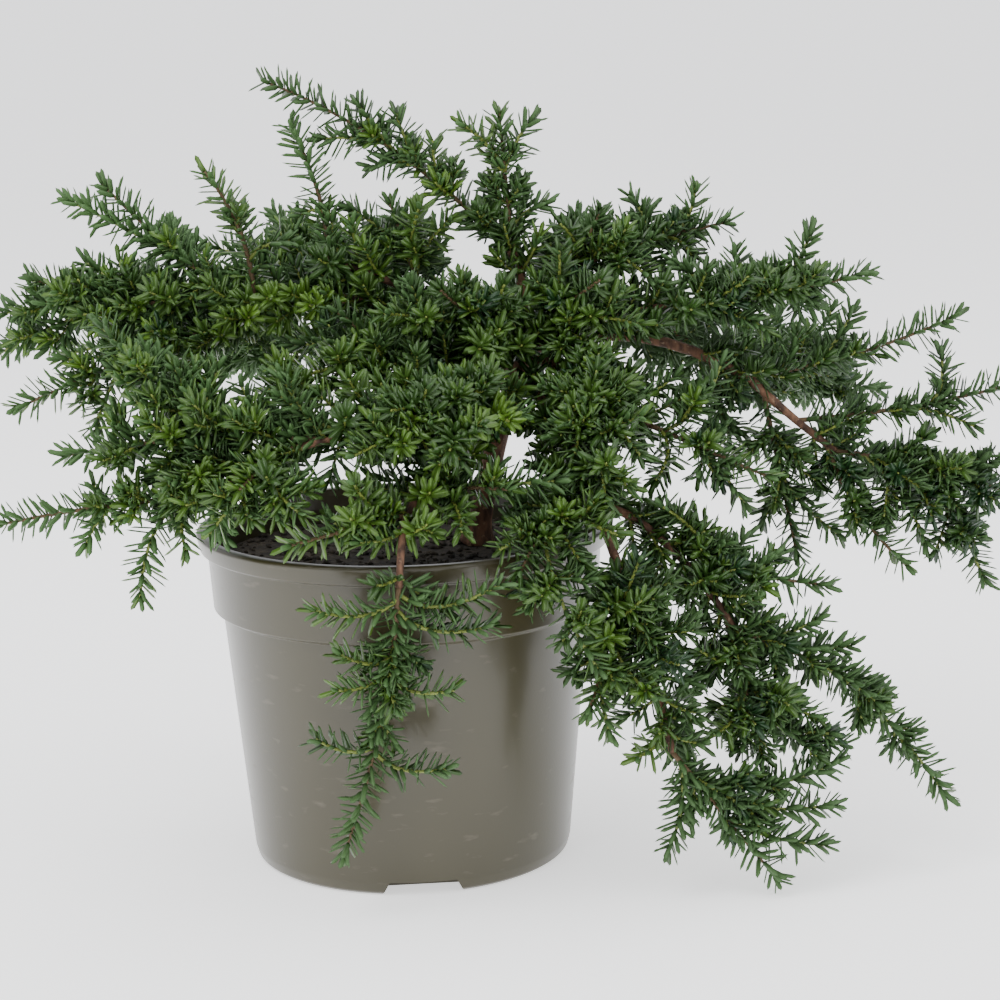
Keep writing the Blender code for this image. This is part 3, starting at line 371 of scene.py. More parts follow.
def side_shoots(m, arms, others):
    """Whorls of side shoots from each arm's bare tip back to its foot.

    A shoot that would come near the pot, another mass or a limb is left out.
    """
    rng = random.Random(m["seed"])
    shoots = []
    own = []
    for arm in arms:
        whole = length_of(arm)
        place = whole - m["bare"]
        whorl = 0
        roll = rng.uniform(0, FULL_TURN)
        while place > LOWEST_WHORL:
            _, along = place_on(arm, place / whole)
            roll += ROLL_STEP + rng.uniform(-ROLL_SWAY, ROLL_SWAY)
            for k in range(WHORL_SHOOTS):
                turn = roll + k * WHORL_TURN + rng.uniform(-TURN_SWAY, TURN_SWAY)
                spread = math.radians(WHORL_SPREAD + rng.uniform(-SPREAD_SWAY, SPREAD_SWAY))
                heading = spread_heading(along, turn, spread, FLAT_SPREAD, FLAT_RISE)
                grown = min(1.0, FIRST_REACH + REACH_STEP * whorl)
                span = m["reach"] * grown * rng.uniform(*REACH_RANGE)
                foot_share = (place + rng.uniform(-FOOT_SWAY, FOOT_SWAY)) / whole
                foot, _ = place_on(arm, min(NEAR_TIP, max(NEAR_FOOT, foot_share)))
                tip = foot + span * unit(heading + vec(0, 0, m["lift"]))
                shoot = curve(foot, foot + 0.5 * span * heading, tip, SHOOT_STEPS)
                if meets_pot(shoot):
                    continue
                probes = np.concatenate((shoot[1:], (shoot[1:] + shoot[:-1]) / 2))
                near = others[np.abs(others - shoot[2]).max(1) < span + LOOK_ROUND]
                if len(near) and nearest(near, probes) < SHOOT_CLEAR:
                    continue
                if own and nearest(np.concatenate(own), shoot[2:]) < SHOOT_CLEAR * OWN_CLEAR:
                    continue
                own.append(shoot[2:])
                shoots.append(shoot)
            place -= WHORL_SPACING * rng.uniform(*WHORL_SPACING_RANGE)
            whorl += 1
    return shoots


def grow():
    """Limb paths, and each mass's arms and side shoots, by name."""
    limbs = limb_paths()
    arms = {m["name"]: arm_paths(m, limbs) for m in MASSES}
    limb_points = points_along(list(limbs.values()))
    taken = {name: points_along(lines) for name, lines in arms.items()}
    shoots = {}
    for m in MASSES:
        name = m["name"]
        others = np.concatenate([limb_points] + [p for k, p in taken.items() if k != name])
        shoots[name] = side_shoots(m, arms[name], others)
        taken[name] = points_along(arms[name] + shoots[name])
    return limbs, arms, shoots


# Finer growth, which the solids leave out; radii are at foot and tip
FINE_SEED = 7000
STEM_RADII = (1.25, 0.6)
ARM_RADII = (1.0, 0.6)
SHOOT_RADII = (0.8, 0.5)
TWIGLET_RADII = (0.6, 0.45)
TWIGLET_FROM = 13.0
TWIGLET_STEPS = 3
TWIGLET_SHARES = (0.3, 0.5, 0.7)
TWIGLET_RANGE = (0.55, 0.9)
TWIGLET_SPREAD = math.radians(45.0)
BOUGH_SEED = 404
BOUGH_WHORL_SPACING = 10.0
BOUGH_WHORL_RANGE = (0.8, 1.2)
BOUGH_TURN_SWAY = 0.4
BOUGH_SPREAD_SWAY = 12
BARE_BOUGHS = ("bough_right_arch", "bough_right_arch_end", "bough_leader", "bough_left_upper")
BARE_SHARE = 0.75
BOUGH_LEAFY_FROM = 0.2
BOUGH_SHOOT_REACH = 24.0
BOUGH_SHOOT_RANGE = (0.5, 1.1)
BOUGH_SHOOT_LIFT = 0.25
BOUGH_SHOOT_CLEAR = 8.0


def twiglets(shoot, lift, rng):
    """Finer twigs on a long side shoot."""
    span = length_of(shoot)
    found = []
    if span < TWIGLET_FROM:
        return found
    for share in TWIGLET_SHARES:
        foot, along = place_on(shoot, share)
        turn = rng.uniform(0, 2 * math.pi)
        heading = spread_heading(along, turn, TWIGLET_SPREAD, FLAT_SPREAD, FLAT_RISE)
        reach = span * (1 - share) * rng.uniform(*TWIGLET_RANGE)
        tip = foot + reach * unit(heading + vec(0, 0, lift))
        twiglet = curve(foot, foot + 0.5 * reach * heading, tip, TWIGLET_STEPS)
        if not meets_pot(twiglet):
            found.append(twiglet)
    return found


def bough_shoots(name, path, rng):
    """Whorls of shoots along the leafy stretch of a bough."""
    whole = length_of(path)
    place = whole * (BARE_SHARE if name in BARE_BOUGHS else BOUGH_LEAFY_FROM)
    found = []
    while place < whole:
        _, along = place_on(path, place / whole)
        roll = rng.uniform(0, 2 * math.pi)
        for k in range(WHORL_SHOOTS):
            turn = roll + 2 * math.pi * k / WHORL_SHOOTS + rng.uniform(-BOUGH_TURN_SWAY, BOUGH_TURN_SWAY)
            spread = math.radians(WHORL_SPREAD + rng.uniform(-BOUGH_SPREAD_SWAY, BOUGH_SPREAD_SWAY))
            heading = spread_heading(along, turn, spread)
            reach = BOUGH_SHOOT_REACH * rng.uniform(*BOUGH_SHOOT_RANGE)
            foot, _ = place_on(path, min(NEAR_TIP, place / whole))
            tip = foot + reach * unit(heading + vec(0, 0, BOUGH_SHOOT_LIFT))
            shoot = curve(foot, foot + 0.5 * reach * heading, tip, SHOOT_STEPS)
            if not meets_pot(shoot, BOUGH_SHOOT_CLEAR):
                found.append(shoot)
        place += BOUGH_WHORL_SPACING * rng.uniform(*BOUGH_WHORL_RANGE)
    return found


def fine_growth():
    """Every twig as its path, its radii at foot and tip, and arm or shoot."""
    limbs, arms, shoots = grow()
    twigs = []
    for number, m in enumerate(MASSES):
        name = m["name"]
        rng = random.Random(FINE_SEED + number)
        for k, arm in enumerate(arms[name]):
            twigs.append((arm, STEM_RADII if k == 0 else ARM_RADII, "arm"))
        for shoot in shoots[name]:
            twigs.append((shoot, SHOOT_RADII, "shoot"))
            twigs += [(path, TWIGLET_RADII, "shoot") for path in twiglets(shoot, m["lift"], rng)]
    rng = random.Random(BOUGH_SEED)
    for name, path in limbs.items():
        if name != "trunk":
            twigs += [(shoot, SHOOT_RADII, "shoot") for shoot in bough_shoots(name, path, rng)]
    return twigs


# Shading


class Value:
    """A number on a surface, whose sums and products add Math nodes."""

    def __init__(self, tree, socket):
        self.tree = tree
        self.socket = socket

    def math(self, operation, a, b):
        node = self.tree.nodes.new("ShaderNodeMath")
        node.operation = operation
        for slot, value in zip(node.inputs, (a, b)):
            if isinstance(value, Value):
                self.tree.links.new(value.socket, slot)
            else:
                slot.default_value = value
        return Value(self.tree, node.outputs[0])

    def __add__(self, other):
        return self.math("ADD", self, other)

    def __radd__(self, other):
        return self.math("ADD", other, self)

    def __sub__(self, other):
        return self.math("SUBTRACT", self, other)

    def __rsub__(self, other):
        return self.math("SUBTRACT", other, self)

    def __mul__(self, other):
        return self.math("MULTIPLY", self, other)

    def __rmul__(self, other):
        return self.math("MULTIPLY", other, self)


class Surface:
    """A material built round one Principled shader."""

    def __init__(self, name, colour, roughness, **constants):
        self.material = bpy.data.materials.new(name)
        self.material.use_nodes = True
        self.tree = self.material.node_tree
        self.shader = self.tree.nodes["Principled BSDF"]
        self.shader.inputs["Base Color"].default_value = (*colour, 1)
        self.shader.inputs["Roughness"].default_value = roughness
        for slot, value in constants.items():
            self.shader.inputs[slot.replace("_", " ")].default_value = value

    def node(self, kind, settings=None, **sockets):
        """A node of a type, with its settings set first and then its sockets."""
        node = self.tree.nodes.new(kind)
        for key, value in (settings or {}).items():
            setattr(node, key, value)
        for slot, value in sockets.items():
            target = node.inputs[slot.replace("_", " ")]
            if isinstance(value, Value):
                self.tree.links.new(value.socket, target)
            elif isinstance(value, bpy.types.NodeSocket):
                self.tree.links.new(value, target)
            else:
                target.default_value = value
        return node

    def place(self, stretch=(1, 1, 1)):
        """Object coordinates, stretched."""
        coordinates = self.node("ShaderNodeTexCoord").outputs["Object"]
        return self.node("ShaderNodeMapping", Vector=coordinates, Scale=stretch).outputs["Vector"]

    def noise(self, scale, detail=3.0, stretch=(1, 1, 1)):
        made = self.node("ShaderNodeTexNoise", Vector=self.place(stretch), Scale=scale, Detail=detail)
        return Value(self.tree, made.outputs["Fac"])

    def cells(self, scale, stretch=(1, 1, 1)):
        made = self.node("ShaderNodeTexVoronoi", Vector=self.place(stretch), Scale=scale)
        return Value(self.tree, made.outputs["Distance"])

    def between(self, value, low, high):
        """The value's place from low to high, held to 0 and 1."""
        made = self.node("ShaderNodeMapRange", Value=value, From_Min=low, From_Max=high)
        return Value(self.tree, made.outputs["Result"])

    def mix(self, factor, first, second):
        node = self.tree.nodes.new("ShaderNodeMix")
        node.data_type = "RGBA"
        self.tree.links.new(factor.socket, node.inputs["Factor"])
        for slot, colour in ((node.inputs[6], first), (node.inputs[7], second)):
            if isinstance(colour, bpy.types.NodeSocket):
                self.tree.links.new(colour, slot)
            else:
                slot.default_value = (*colour, 1)
        return node.outputs[2]

    def feed(self, slot, value):
        socket = value.socket if isinstance(value, Value) else value
        self.tree.links.new(socket, self.shader.inputs[slot])

    def bump(self, height, strength, distance):
        made = self.node("ShaderNodeBump", Height=height, Strength=strength, Distance=distance)
        self.tree.links.new(made.outputs["Normal"], self.shader.inputs["Normal"])


def pot_surface(settings):
    surface = Surface("pot_satin_plastic", settings.colour, 0.3, Coat_Weight=0.25, Coat_Roughness=0.15)
    broad = surface.noise(14.0, 2.0, (1, 1, 0.3))
    fine = surface.noise(900.0, 2.0)
    scuff = surface.between(surface.noise(70.0, 5.0, (1, 1, 3)), 0.62, 0.75)
    lighter = tuple(min(1.0, 1.22 * c) for c in settings.colour)
    body = surface.mix(surface.between(broad, 0.3, 0.7), settings.colour, lighter)
    dusty = surface.mix(scuff * 0.25, body, settings.dust)
    surface.feed("Base Color", dusty)
    surface.feed("Roughness", 0.26 + broad * 0.1 + scuff * 0.15)
    surface.bump(fine, 0.12, 0.0002)
    return surface.material


def compost_surface(settings):
    surface = Surface("compost_crumb", settings.compost, 0.95)
    grain = surface.noise(420.0, 6.0)
    patch = surface.noise(60.0, 3.0)
    crumbly = surface.between(grain * 0.6 + patch * 0.4, 0.4, 0.65)
    surface.feed("Base Color", surface.mix(crumbly, settings.compost, settings.crumb))
    surface.bump(grain, 0.9, 0.0012)
    return surface.material


def bark_surface(settings):
    surface = Surface("flaky_bark", settings.dark, 0.8)
    strips = surface.noise(260.0, 4.0, (1, 1, 0.35))
    flakes = surface.between(surface.cells(330.0, (1, 1, 0.4)), 0.2, 0.6)
    tone = surface.mix(surface.between(strips, 0.38, 0.62), settings.dark, settings.pale)
    loose = surface.between(surface.noise(520.0, 4.0), 0.6, 0.72)
    surface.feed("Base Color", surface.mix(loose, tone, settings.flake))
    surface.feed("Roughness", 0.7 + strips * 0.25)
    surface.bump(strips * 0.7 + flakes * 0.5, 0.8, 0.0006)
    return surface.material


# Making meshes


def colour_choice(name, description, default):
    """A colour that the user can change."""
    return FloatVectorProperty(
        name=name, description=description, subtype="COLOR", size=3, default=default
    )


def deselect():
    if bpy.context.object and bpy.context.object.mode != "OBJECT":
        bpy.ops.object.mode_set(mode="OBJECT")
    bpy.ops.object.select_all(action="DESELECT")


def mesh_object(name, corners, faces, materials, slots=None):
    """A mesh object from corners in millimetres."""
    mesh = bpy.data.meshes.new(name)
    mesh.from_pydata((np.asarray(corners) * MM).tolist(), [], faces)
    for material in materials:
        mesh.materials.append(material)
    if slots is not None:
        mesh.polygons.foreach_set("material_index", slots)
    mesh.shade_smooth()
    mesh.update()
    obj = bpy.data.objects.new(name, mesh)
    bpy.context.scene.collection.objects.link(obj)
    return obj


def ring_frames(path):
    """Two directions square to each point of a path, turned as little as can be."""
    steps = np.diff(path, axis=0)
    tangents = [steps[0]] + [a + b for a, b in zip(steps[:-1], steps[1:])] + [steps[-1]]
    tangents = [unit(t) for t in tangents]
    first, _ = cross_axes(tangents[0])
    frames = []
    for t in tangents:
        first = unit(first - t * (first @ t))
        frames.append((first, np.cross(t, first)))
    return frames


def resampled(path, spacing):
    whole = length_of(path)
    count = max(2, int(whole / spacing))
    return np.array([place_on(path, k / count)[0] for k in range(count + 1)])


def tube(path, radii, sides, first=0):
    """Corners and faces of a closed tube; radii may hold one radius a corner."""
    corners = []
    for point, (a, b), radius in zip(path, ring_frames(path), radii):
        turns = 2 * np.pi * np.arange(sides) / sides
        around = np.cos(turns)[:, None] * a + np.sin(turns)[:, None] * b
        corners.append(point + np.reshape(radius, (-1, 1)) * around)
    faces = []
    for i in range(len(path) - 1):
        for k in range(sides):
            n = (k + 1) % sides
            low, high = first + i * sides, first + (i + 1) * sides
            faces.append((low + k, low + n, high + n, high + k))
    last = first + (len(path) - 1) * sides
    faces.append(tuple(first + k for k in reversed(range(sides))))
    faces.append(tuple(last + k for k in range(sides)))
    return np.concatenate(corners), faces


class Joined:
    """Many small meshes gathered into one; count is the corners so far."""

    def __init__(self):
        self.corners = []
        self.faces = []
        self.slots = []
        self.count = 0

    def add(self, corners, faces, slot=0):
        self.corners.append(corners)
        self.faces += faces
        self.slots += [slot] * len(faces)
        self.count += len(corners)

    def object(self, name, materials):
        return mesh_object(name, np.concatenate(self.corners), self.faces, materials, self.slots)


# Pot
ROUND_SHARE = 0.45
EDGE_RADIUS = 0.8
SHARP_EDGE = math.radians(35)
NOTCHES = 3
FIRST_NOTCH = math.radians(-87.0)

# The block that cuts a notch, in metres, and its width above and below as a share
NOTCH_BLOCK = (0.025, 0.034, 0.0085)
NOTCH_CENTRE = (0.0695, 0, 0.00225)
NOTCH_TOP = 30.0 / 34.0
NOTCH_FOOT = 38.0 / 34.0

# Compost, whose middle rings let its top be shaded evenly
FILL_TOP = COMPOST_TOP - 0.6
FILL_WALL = ((60.0, 9.3), (69.5, 9.3), (81.6, 117.0), (85.4, 121.0), (87.0, FILL_TOP))
FILL_RINGS = (80.0, 60.0, 40.0, 20.0, 5.0)
FILL_SEGMENTS = 96
CRUMB_SEED = 31
CRUMB_FIELD = 86.0
CRUMB_EDGE = 86.8
CRUMB_SIZES = (0.8, 3.2)
CRUMB_RISE = 0.15
CRUMB_SQUAT = (0.3, 0.6)


def lathe(name, rings, segments, material):
    """A closed round body: a disc extruded and resized from ring to ring."""
    deselect()
    radius, height = rings[0]
    bpy.ops.mesh.primitive_circle_add(
        vertices=segments, radius=radius * MM, fill_type="NGON", location=(0, 0, height * MM)
    )
    piece = bpy.context.object
    piece.name = name
    bpy.ops.object.transform_apply(location=True)
    bpy.ops.object.mode_set(mode="EDIT")
    for (r0, z0), (r1, z1) in zip(rings, rings[1:]):
        bpy.ops.mesh.extrude_region_move(TRANSFORM_OT_translate={"value": (0, 0, (z1 - z0) * MM)})
        bpy.ops.transform.resize(value=(r1 / r0, r1 / r0, 1))
    bpy.ops.mesh.select_all(action="SELECT")
    bpy.ops.mesh.normals_make_consistent(inside=False)
    bpy.ops.object.mode_set(mode="OBJECT")
    piece.data.materials.append(material)
    return piece


def rounded(rings, radius, steps=4):
    """Rings whose turns, all but the ends, are rounded by a small radius."""
    smooth = [rings[0]]
    for before, here, after in zip(rings, rings[1:], rings[2:]):
        here = np.array(here)
        back = np.array(before) - here
        on = np.array(after) - here
        cut_back = min(radius, ROUND_SHARE * np.linalg.norm(back))
        cut_on = min(radius, ROUND_SHARE * np.linalg.norm(on))
        start = here + back / np.linalg.norm(back) * cut_back
        end = here + on / np.linalg.norm(on) * cut_on
        for k in range(steps + 1):
            u = k / steps
            smooth.append(tuple((1 - u) ** 2 * start + 2 * u * (1 - u) * here + u * u * end))
    smooth.append(rings[-1])
    return smooth


def pot_rings():
    lip_inside = LIP_RADIUS - 5.0
    outside = [
        (66.0, 0.0),
        (70.0, 0.0),
        (72.4, 1.6),
        (73.6, 6.0),
        (POT_STEP_RADIUS, 117.0),
        (88.2, 118.8),
        (BAND_TOP_RADIUS, 145.0),
        (93.4, 146.0),
        (LIP_RADIUS, 153.0),
        (LIP_RADIUS - 1.0, POT_HEIGHT),
        (lip_inside, POT_HEIGHT),
        (BAND_TOP_RADIUS - 2.0, 145.0),
        (86.4, 121.0),
        (82.0, 117.0),
        (72.0, 9.0),
        (40.0, 9.0),
    ]
    return rounded(outside, EDGE_RADIUS)


def cut_notches(pot):
    """Cuts the drain notches, each by a block that narrows upwards."""
    for k in range(NOTCHES):
        deselect()
        bpy.ops.mesh.primitive_cube_add(size=1, location=(0, 0, 0))
        cutter = bpy.context.object
        bpy.ops.object.mode_set(mode="EDIT")
        bpy.ops.transform.resize(value=NOTCH_BLOCK)
        bpy.ops.transform.translate(value=NOTCH_CENTRE)
        bpy.ops.object.mode_set(mode="OBJECT")
        for corner in cutter.data.vertices:
            corner.co.y *= NOTCH_TOP if corner.co.z > 0 else NOTCH_FOOT
        cutter.rotation_euler.z = FIRST_NOTCH + 2 * math.pi * k / NOTCHES
        bpy.context.view_layer.update()
        cut = pot.modifiers.new("notch", "BOOLEAN")
        cut.operation = "DIFFERENCE"
        cut.object = cutter
        bpy.context.view_layer.objects.active = pot
        bpy.ops.object.modifier_apply(modifier=cut.name)
        bpy.data.objects.remove(cutter)


class PLUMPINE_PG_pot(bpy.types.PropertyGroup):
    colour: colour_choice("Plastic", "Colour of the pot", (0.040, 0.034, 0.014))
    dust: colour_choice("Dust", "Colour of the scuffs", (0.22, 0.19, 0.15))
    compost: colour_choice("Compost", "Colour of the wet compost", (0.012, 0.010, 0.008))
    crumb: colour_choice("Crumb", "Colour of the bark crumbs", (0.06, 0.045, 0.03))
    segments: IntProperty(name="Segments", description="Sides of the round pot", default=160)
    crumbs: IntProperty(name="Crumbs", description="Lumps on the compost", default=900)


class PLUMPINE_OT_pot(bpy.types.Operator):
    """Model the pot with its step, lip and drain notches"""

    bl_idname = "plumpine.pot"
    bl_label = "Pot"

    def execute(self, context):
        settings = context.scene.plumpine_pot
        pot = lathe("nursery_pot", pot_rings(), settings.segments, pot_surface(settings))
        cut_notches(pot)
        deselect()
        pot.select_set(True)
        context.view_layer.objects.active = pot
        bpy.ops.object.shade_smooth_by_angle(angle=SHARP_EDGE)
        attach(pot, "root")
        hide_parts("pot")
        return {"FINISHED"}


def strewn_crumbs(count):
    """Pointed lumps of eight faces, strewn over the compost."""
    rng = random.Random(CRUMB_SEED)
    lumps = Joined()
    for _ in range(count):
        radius = CRUMB_FIELD * math.sqrt(rng.random())
        turn = rng.uniform(0, 2 * math.pi)
        size = rng.uniform(*CRUMB_SIZES)
        height = FILL_TOP + CRUMB_RISE * size
        centre = vec(radius * math.cos(turn), radius * math.sin(turn), height)
        if radius + size > CRUMB_EDGE:
            continue
        long = unit(vec(rng.uniform(-1, 1), rng.uniform(-1, 1), rng.uniform(-0.3, 0.3)))
        side, up = cross_axes(long)
        squat = size * rng.uniform(*CRUMB_SQUAT)
        offsets = (long * size, -long * size, side * squat, up * squat, -side * squat, -up * squat)
        faces = []
        for k in range(4):
            a = lumps.count + 2 + k
            b = lumps.count + 2 + (k + 1) % 4
            faces += [(lumps.count, b, a), (lumps.count + 1, a, b)]
        lumps.add(centre + np.array(offsets), faces)
    return lumps


class PLUMPINE_OT_compost(bpy.types.Operator):
    """Fill the pot with compost and strew its top with crumbs"""

    bl_idname = "plumpine.compost"
    bl_label = "Compost"

    def execute(self, context):
        settings = context.scene.plumpine_pot
        material = compost_surface(settings)
        rings = [*FILL_WALL, *((radius, FILL_TOP) for radius in FILL_RINGS)]
        fill = lathe("compost_fill", rings, FILL_SEGMENTS, material)
        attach(fill, "root")
        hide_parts("compost")
        crumbs = strewn_crumbs(settings.crumbs).object("compost_crumbs", [material])
        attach(crumbs, "root")
        return {"FINISHED"}


# Wood
BARK_SEED = 5
TRUNK_SIDES = 20
TRUNK_SPACING = 1.5
TRUNK_DEPTH_SHARE = 1.5
BOUGH_SIDES = 14
BOUGH_SPACING = 2.0
RIDGES = 5
RIDGE_TWIST = 0.35
RIDGE_FADE = 0.4
FOOT_SUNK = 0.5


def relief(rng, sides, count, depth):
    """Uneven radii for a stretch of bark: long ridges broken along the limb."""
    phases = [rng.uniform(0, FULL_TURN) for _ in range(RIDGES)]
    turns = 2 * np.pi * np.arange(sides) / sides
    shape = np.zeros((count, sides))
    for i in range(count):
        for k, phase in enumerate(phases):
            wave = turns * (2 + k) + phase + RIDGE_TWIST * i * math.sin(phase)
            shape[i] += np.sin(wave) / (1 + RIDGE_FADE * k)
    return depth * shape / RIDGES


def limb_tube(path, foot_radius, tip_radius, rng, depth, sides, spacing, flare=0.0):
    """The path and radii of a bark tube, with relief and an optional root flare."""
    fine = resampled(path, spacing)
    shares = np.linspace(0, 1, len(fine))
    radii = foot_radius + (tip_radius - foot_radius) * shares
    radii += flare * np.maximum(0.0, 1 - shares / FLARE_SHARE) ** 2
    return fine, radii[:, None] + relief(rng, sides, len(fine), depth)


class PLUMPINE_PG_bark(bpy.types.PropertyGroup):
    dark: colour_choice("Dark bark", "Colour of the bark's furrows", (0.055, 0.026, 0.016))
    pale: colour_choice("Pale bark", "Colour of the bark's ridges", (0.21, 0.105, 0.06))
    flake: colour_choice("Flakes", "Colour of the loose flakes", (0.30, 0.19, 0.12))
    relief_depth: FloatProperty(
        name="Relief", description="Height of the bark's ridges in millimetres", default=0.35
    )


class PLUMPINE_OT_wood(bpy.types.Operator):
    """Cover the trunk and boughs with bark"""

    bl_idname = "plumpine.wood"
    bl_label = "Trunk and boughs"

    def execute(self, context):
        settings = context.scene.plumpine_bark
        limbs = limb_paths()
        rng = random.Random(BARK_SEED)
        red = bark_surface(settings)
        path, radii = limb_tube(
            limbs["trunk"], TRUNK_FOOT_RADIUS, TRUNK_FORK_RADIUS, rng,
            TRUNK_DEPTH_SHARE * settings.relief_depth, TRUNK_SIDES, TRUNK_SPACING,
            FLARE_RADIUS - TRUNK_FOOT_RADIUS,
        )
        path[:, 2] = np.maximum(path[:, 2], COMPOST_TOP)
        corners, faces = tube(path, radii, TRUNK_SIDES)
        corners[:, 2] = np.maximum(corners[:, 2], COMPOST_TOP - FOOT_SUNK)
        trunk = mesh_object("trunk_bark", corners, faces, [red])
        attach(trunk, "root")
        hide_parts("trunk")
        joined = Joined()
        for name, _, _, _, _, (foot, tip) in BOUGHS:
            path, radii = limb_tube(
                limbs[name], foot, tip, rng, settings.relief_depth, BOUGH_SIDES, BOUGH_SPACING
            )
            corners, faces = tube(path, radii, BOUGH_SIDES, joined.count)
            joined.add(corners, faces)
        boughs = joined.object("boughs_bark", [red])
        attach(boughs, "root")
        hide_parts(*[row[0] for row in BOUGHS])
        return {"FINISHED"}


# Foliage
TWIG_SIDES = 6
TWIG_SPACING = 4.0
OLD_TWIG_RADIUS = 1.2
LEAF_SEED = 11
LEAF_FOOT = {"arm": 4.0, "shoot": 1.5}
LEAF_TURN = 2.4
LEAF_TURN_SWAY = 0.35
LEAF_SPREAD = (52, 76)
LEAF_RISE = 0.35
LEAF_TWIST = 0.5
LEAF_SIZES = (0.82, 1.12)
LEAF_WIDTHS = (0.85, 1.1)
LEAF_BENDS = (-0.10, 0.16)
LEAF_GAPS = (0.6, 1.4)
LEAF_LOWEST = 1.0
TIP_REACH = 12.0
TIP_CLOSING = 30
TIP_SHRINKING = 0.25
FIRST_LEAVES = 4
FIRST_LEAF_SIZE = 0.75
LEAF_TONES = 6
# Painted light: sprays further to the left, where the light falls, get brighter greens, with a random
# sway from spray to spray
SUNNY_MIDDLE = 0.42
SUNNY_SLOPE = 0.0009
SUNNY_SWAY = 0.13
MOST_LEAVES_A_PIECE = 11000


def leaf_template():
    """A leaf of unit length along X: corners, faces and which faces are its underside.

    Each section has two edges and a ridge; heights are in leaf thicknesses.
    """
    stations = ((0.0, 0.22), (0.2, 0.92), (0.82, 0.9))
    corners = []
    for along, half in stations:
        corners += [(along, -half, 0.0), (along, half, 0.0), (along, 0.0, -0.6 - 0.4 * half)]
    corners.append((1.0, 0.0, -0.2))
    faces = [(0, 1, 2)]
    under = [1]
    for i in range(len(stations) - 1):
        a, b = 3 * i, 3 * (i + 1)
        faces += [(b, b + 1, a + 1, a), (b + 1, b + 2, a + 2, a + 1), (b + 2, b, a, a + 2)]
        under += [0, 1, 1]
    end = 3 * (len(stations) - 1)
    tip = len(corners) - 1
    faces += [(tip, end + 1, end), (tip, end + 2, end + 1), (tip, end, end + 2)]
    under += [0, 1, 1]
    return np.array(corners), faces, under


class PLUMPINE_PG_foliage(bpy.types.PropertyGroup):
    leaf_length: FloatProperty(
        name="Leaf length", description="Length of a leaf in millimetres", default=11.5
    )
    leaf_width: FloatProperty(
        name="Leaf width", description="Width of a leaf in millimetres", default=2.6
    )
    leaf_thickness: FloatProperty(
        name="Leaf thickness", description="Thickness of a leaf in millimetres", default=0.6
    )
    leaf_spacing: FloatProperty(
        name="Leaf spacing", description="Twig for each leaf in millimetres", default=0.72
    )
    # The deep and bright greens are partly the leaves' own greens and partly painted shade on the right
    # and painted light on the left
    deep_and_shaded: colour_choice("Deep green", "Colour of the oldest leaves", (0.012, 0.045, 0.011))
    bright: colour_choice("Bright green", "Colour of the youngest leaves", (0.12, 0.235, 0.022))
    underside: colour_choice("Underside", "Colour of the leaves' undersides", (0.055, 0.125, 0.032))
    twig_green: colour_choice("Green twig", "Colour of young twigs", (0.20, 0.25, 0.045))
    twig_brown: colour_choice("Brown twig", "Colour of older twigs", (0.12, 0.075, 0.035))


class PLUMPINE_OT_twigs(bpy.types.Operator):
    """Grow the twigs of every mass of foliage"""

    bl_idname = "plumpine.twigs"
    bl_label = "Twigs"

    def execute(self, context):
        settings = context.scene.plumpine_foliage
        green = Surface("young_twig", settings.twig_green, 0.5).material
        brown = Surface("older_twig", settings.twig_brown, 0.75).material
        joined = Joined()
        for path, (foot, tip), _ in fine_growth():
            fine = resampled(path, TWIG_SPACING)
            radii = np.linspace(foot, tip, len(fine))[:, None] * np.ones(TWIG_SIDES)
            corners, faces = tube(fine, radii, TWIG_SIDES, joined.count)
            joined.add(corners, faces, 1 if foot > OLD_TWIG_RADIUS else 0)
        piece = joined.object("foliage_twigs", [green, brown])
        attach(piece, "root")
        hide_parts(*[m["name"] for m in MASSES])
        return {"FINISHED"}


def leaves_on(path, kind, rng, settings):
    """Foot, heading, normal, length and width of each leaf along a twig."""
    whole = length_of(path)
    place = LEAF_FOOT[kind]
    turn = rng.uniform(0, 2 * math.pi)
    leaves = []
    while place < whole:
        foot, along = place_on(path, place / whole)
        side, up = cross_axes(along)
        turn += LEAF_TURN + rng.uniform(-LEAF_TURN_SWAY, LEAF_TURN_SWAY)
        near_tip = max(0.0, 1 - (whole - place) / TIP_REACH)
        spread = math.radians(rng.uniform(*LEAF_SPREAD) - TIP_CLOSING * near_tip)
        out = math.cos(turn) * side + math.sin(turn) * up + vec(0, 0, LEAF_RISE)
        out = unit(out - along * (out @ along))
        heading = unit(math.cos(spread) * along + math.sin(spread) * out)
        normal = unit(along - heading * (along @ heading))
        twist = rng.uniform(-LEAF_TWIST, LEAF_TWIST)
        normal = unit(normal * math.cos(twist) + np.cross(heading, normal) * math.sin(twist))
        size = rng.uniform(*LEAF_SIZES) * (1 - TIP_SHRINKING * near_tip)
        if kind == "shoot" and place < FIRST_LEAVES:
            size *= FIRST_LEAF_SIZE
        width = settings.leaf_width * rng.uniform(*LEAF_WIDTHS)
        leaves.append((foot, heading, normal, settings.leaf_length * size, width))
        place += settings.leaf_spacing * rng.uniform(*LEAF_GAPS)
    return leaves


def leaf_mesh(leaves, thickness, rng):
    """Corners, faces and material slots of many leaves, each bent a little."""
    template, faces, under = leaf_template()
    x, y, z = template.T
    corners = []
    all_faces = []
    for n, (foot, heading, normal, length, width) in enumerate(leaves):
        side = np.cross(normal, heading)
        bend = rng.uniform(*LEAF_BENDS) * length
        rise = thickness * z - bend * x * x
        placed = foot + np.outer(x * length, heading)
        placed += np.outer(y * width / 2, side) + np.outer(rise, normal)
        placed[:, 2] = np.maximum(placed[:, 2], LEAF_LOWEST)
        corners.append(placed)
        base = n * len(template)
        all_faces += [tuple(base + i for i in face) for face in faces]
    return np.concatenate(corners), all_faces, under * len(leaves)


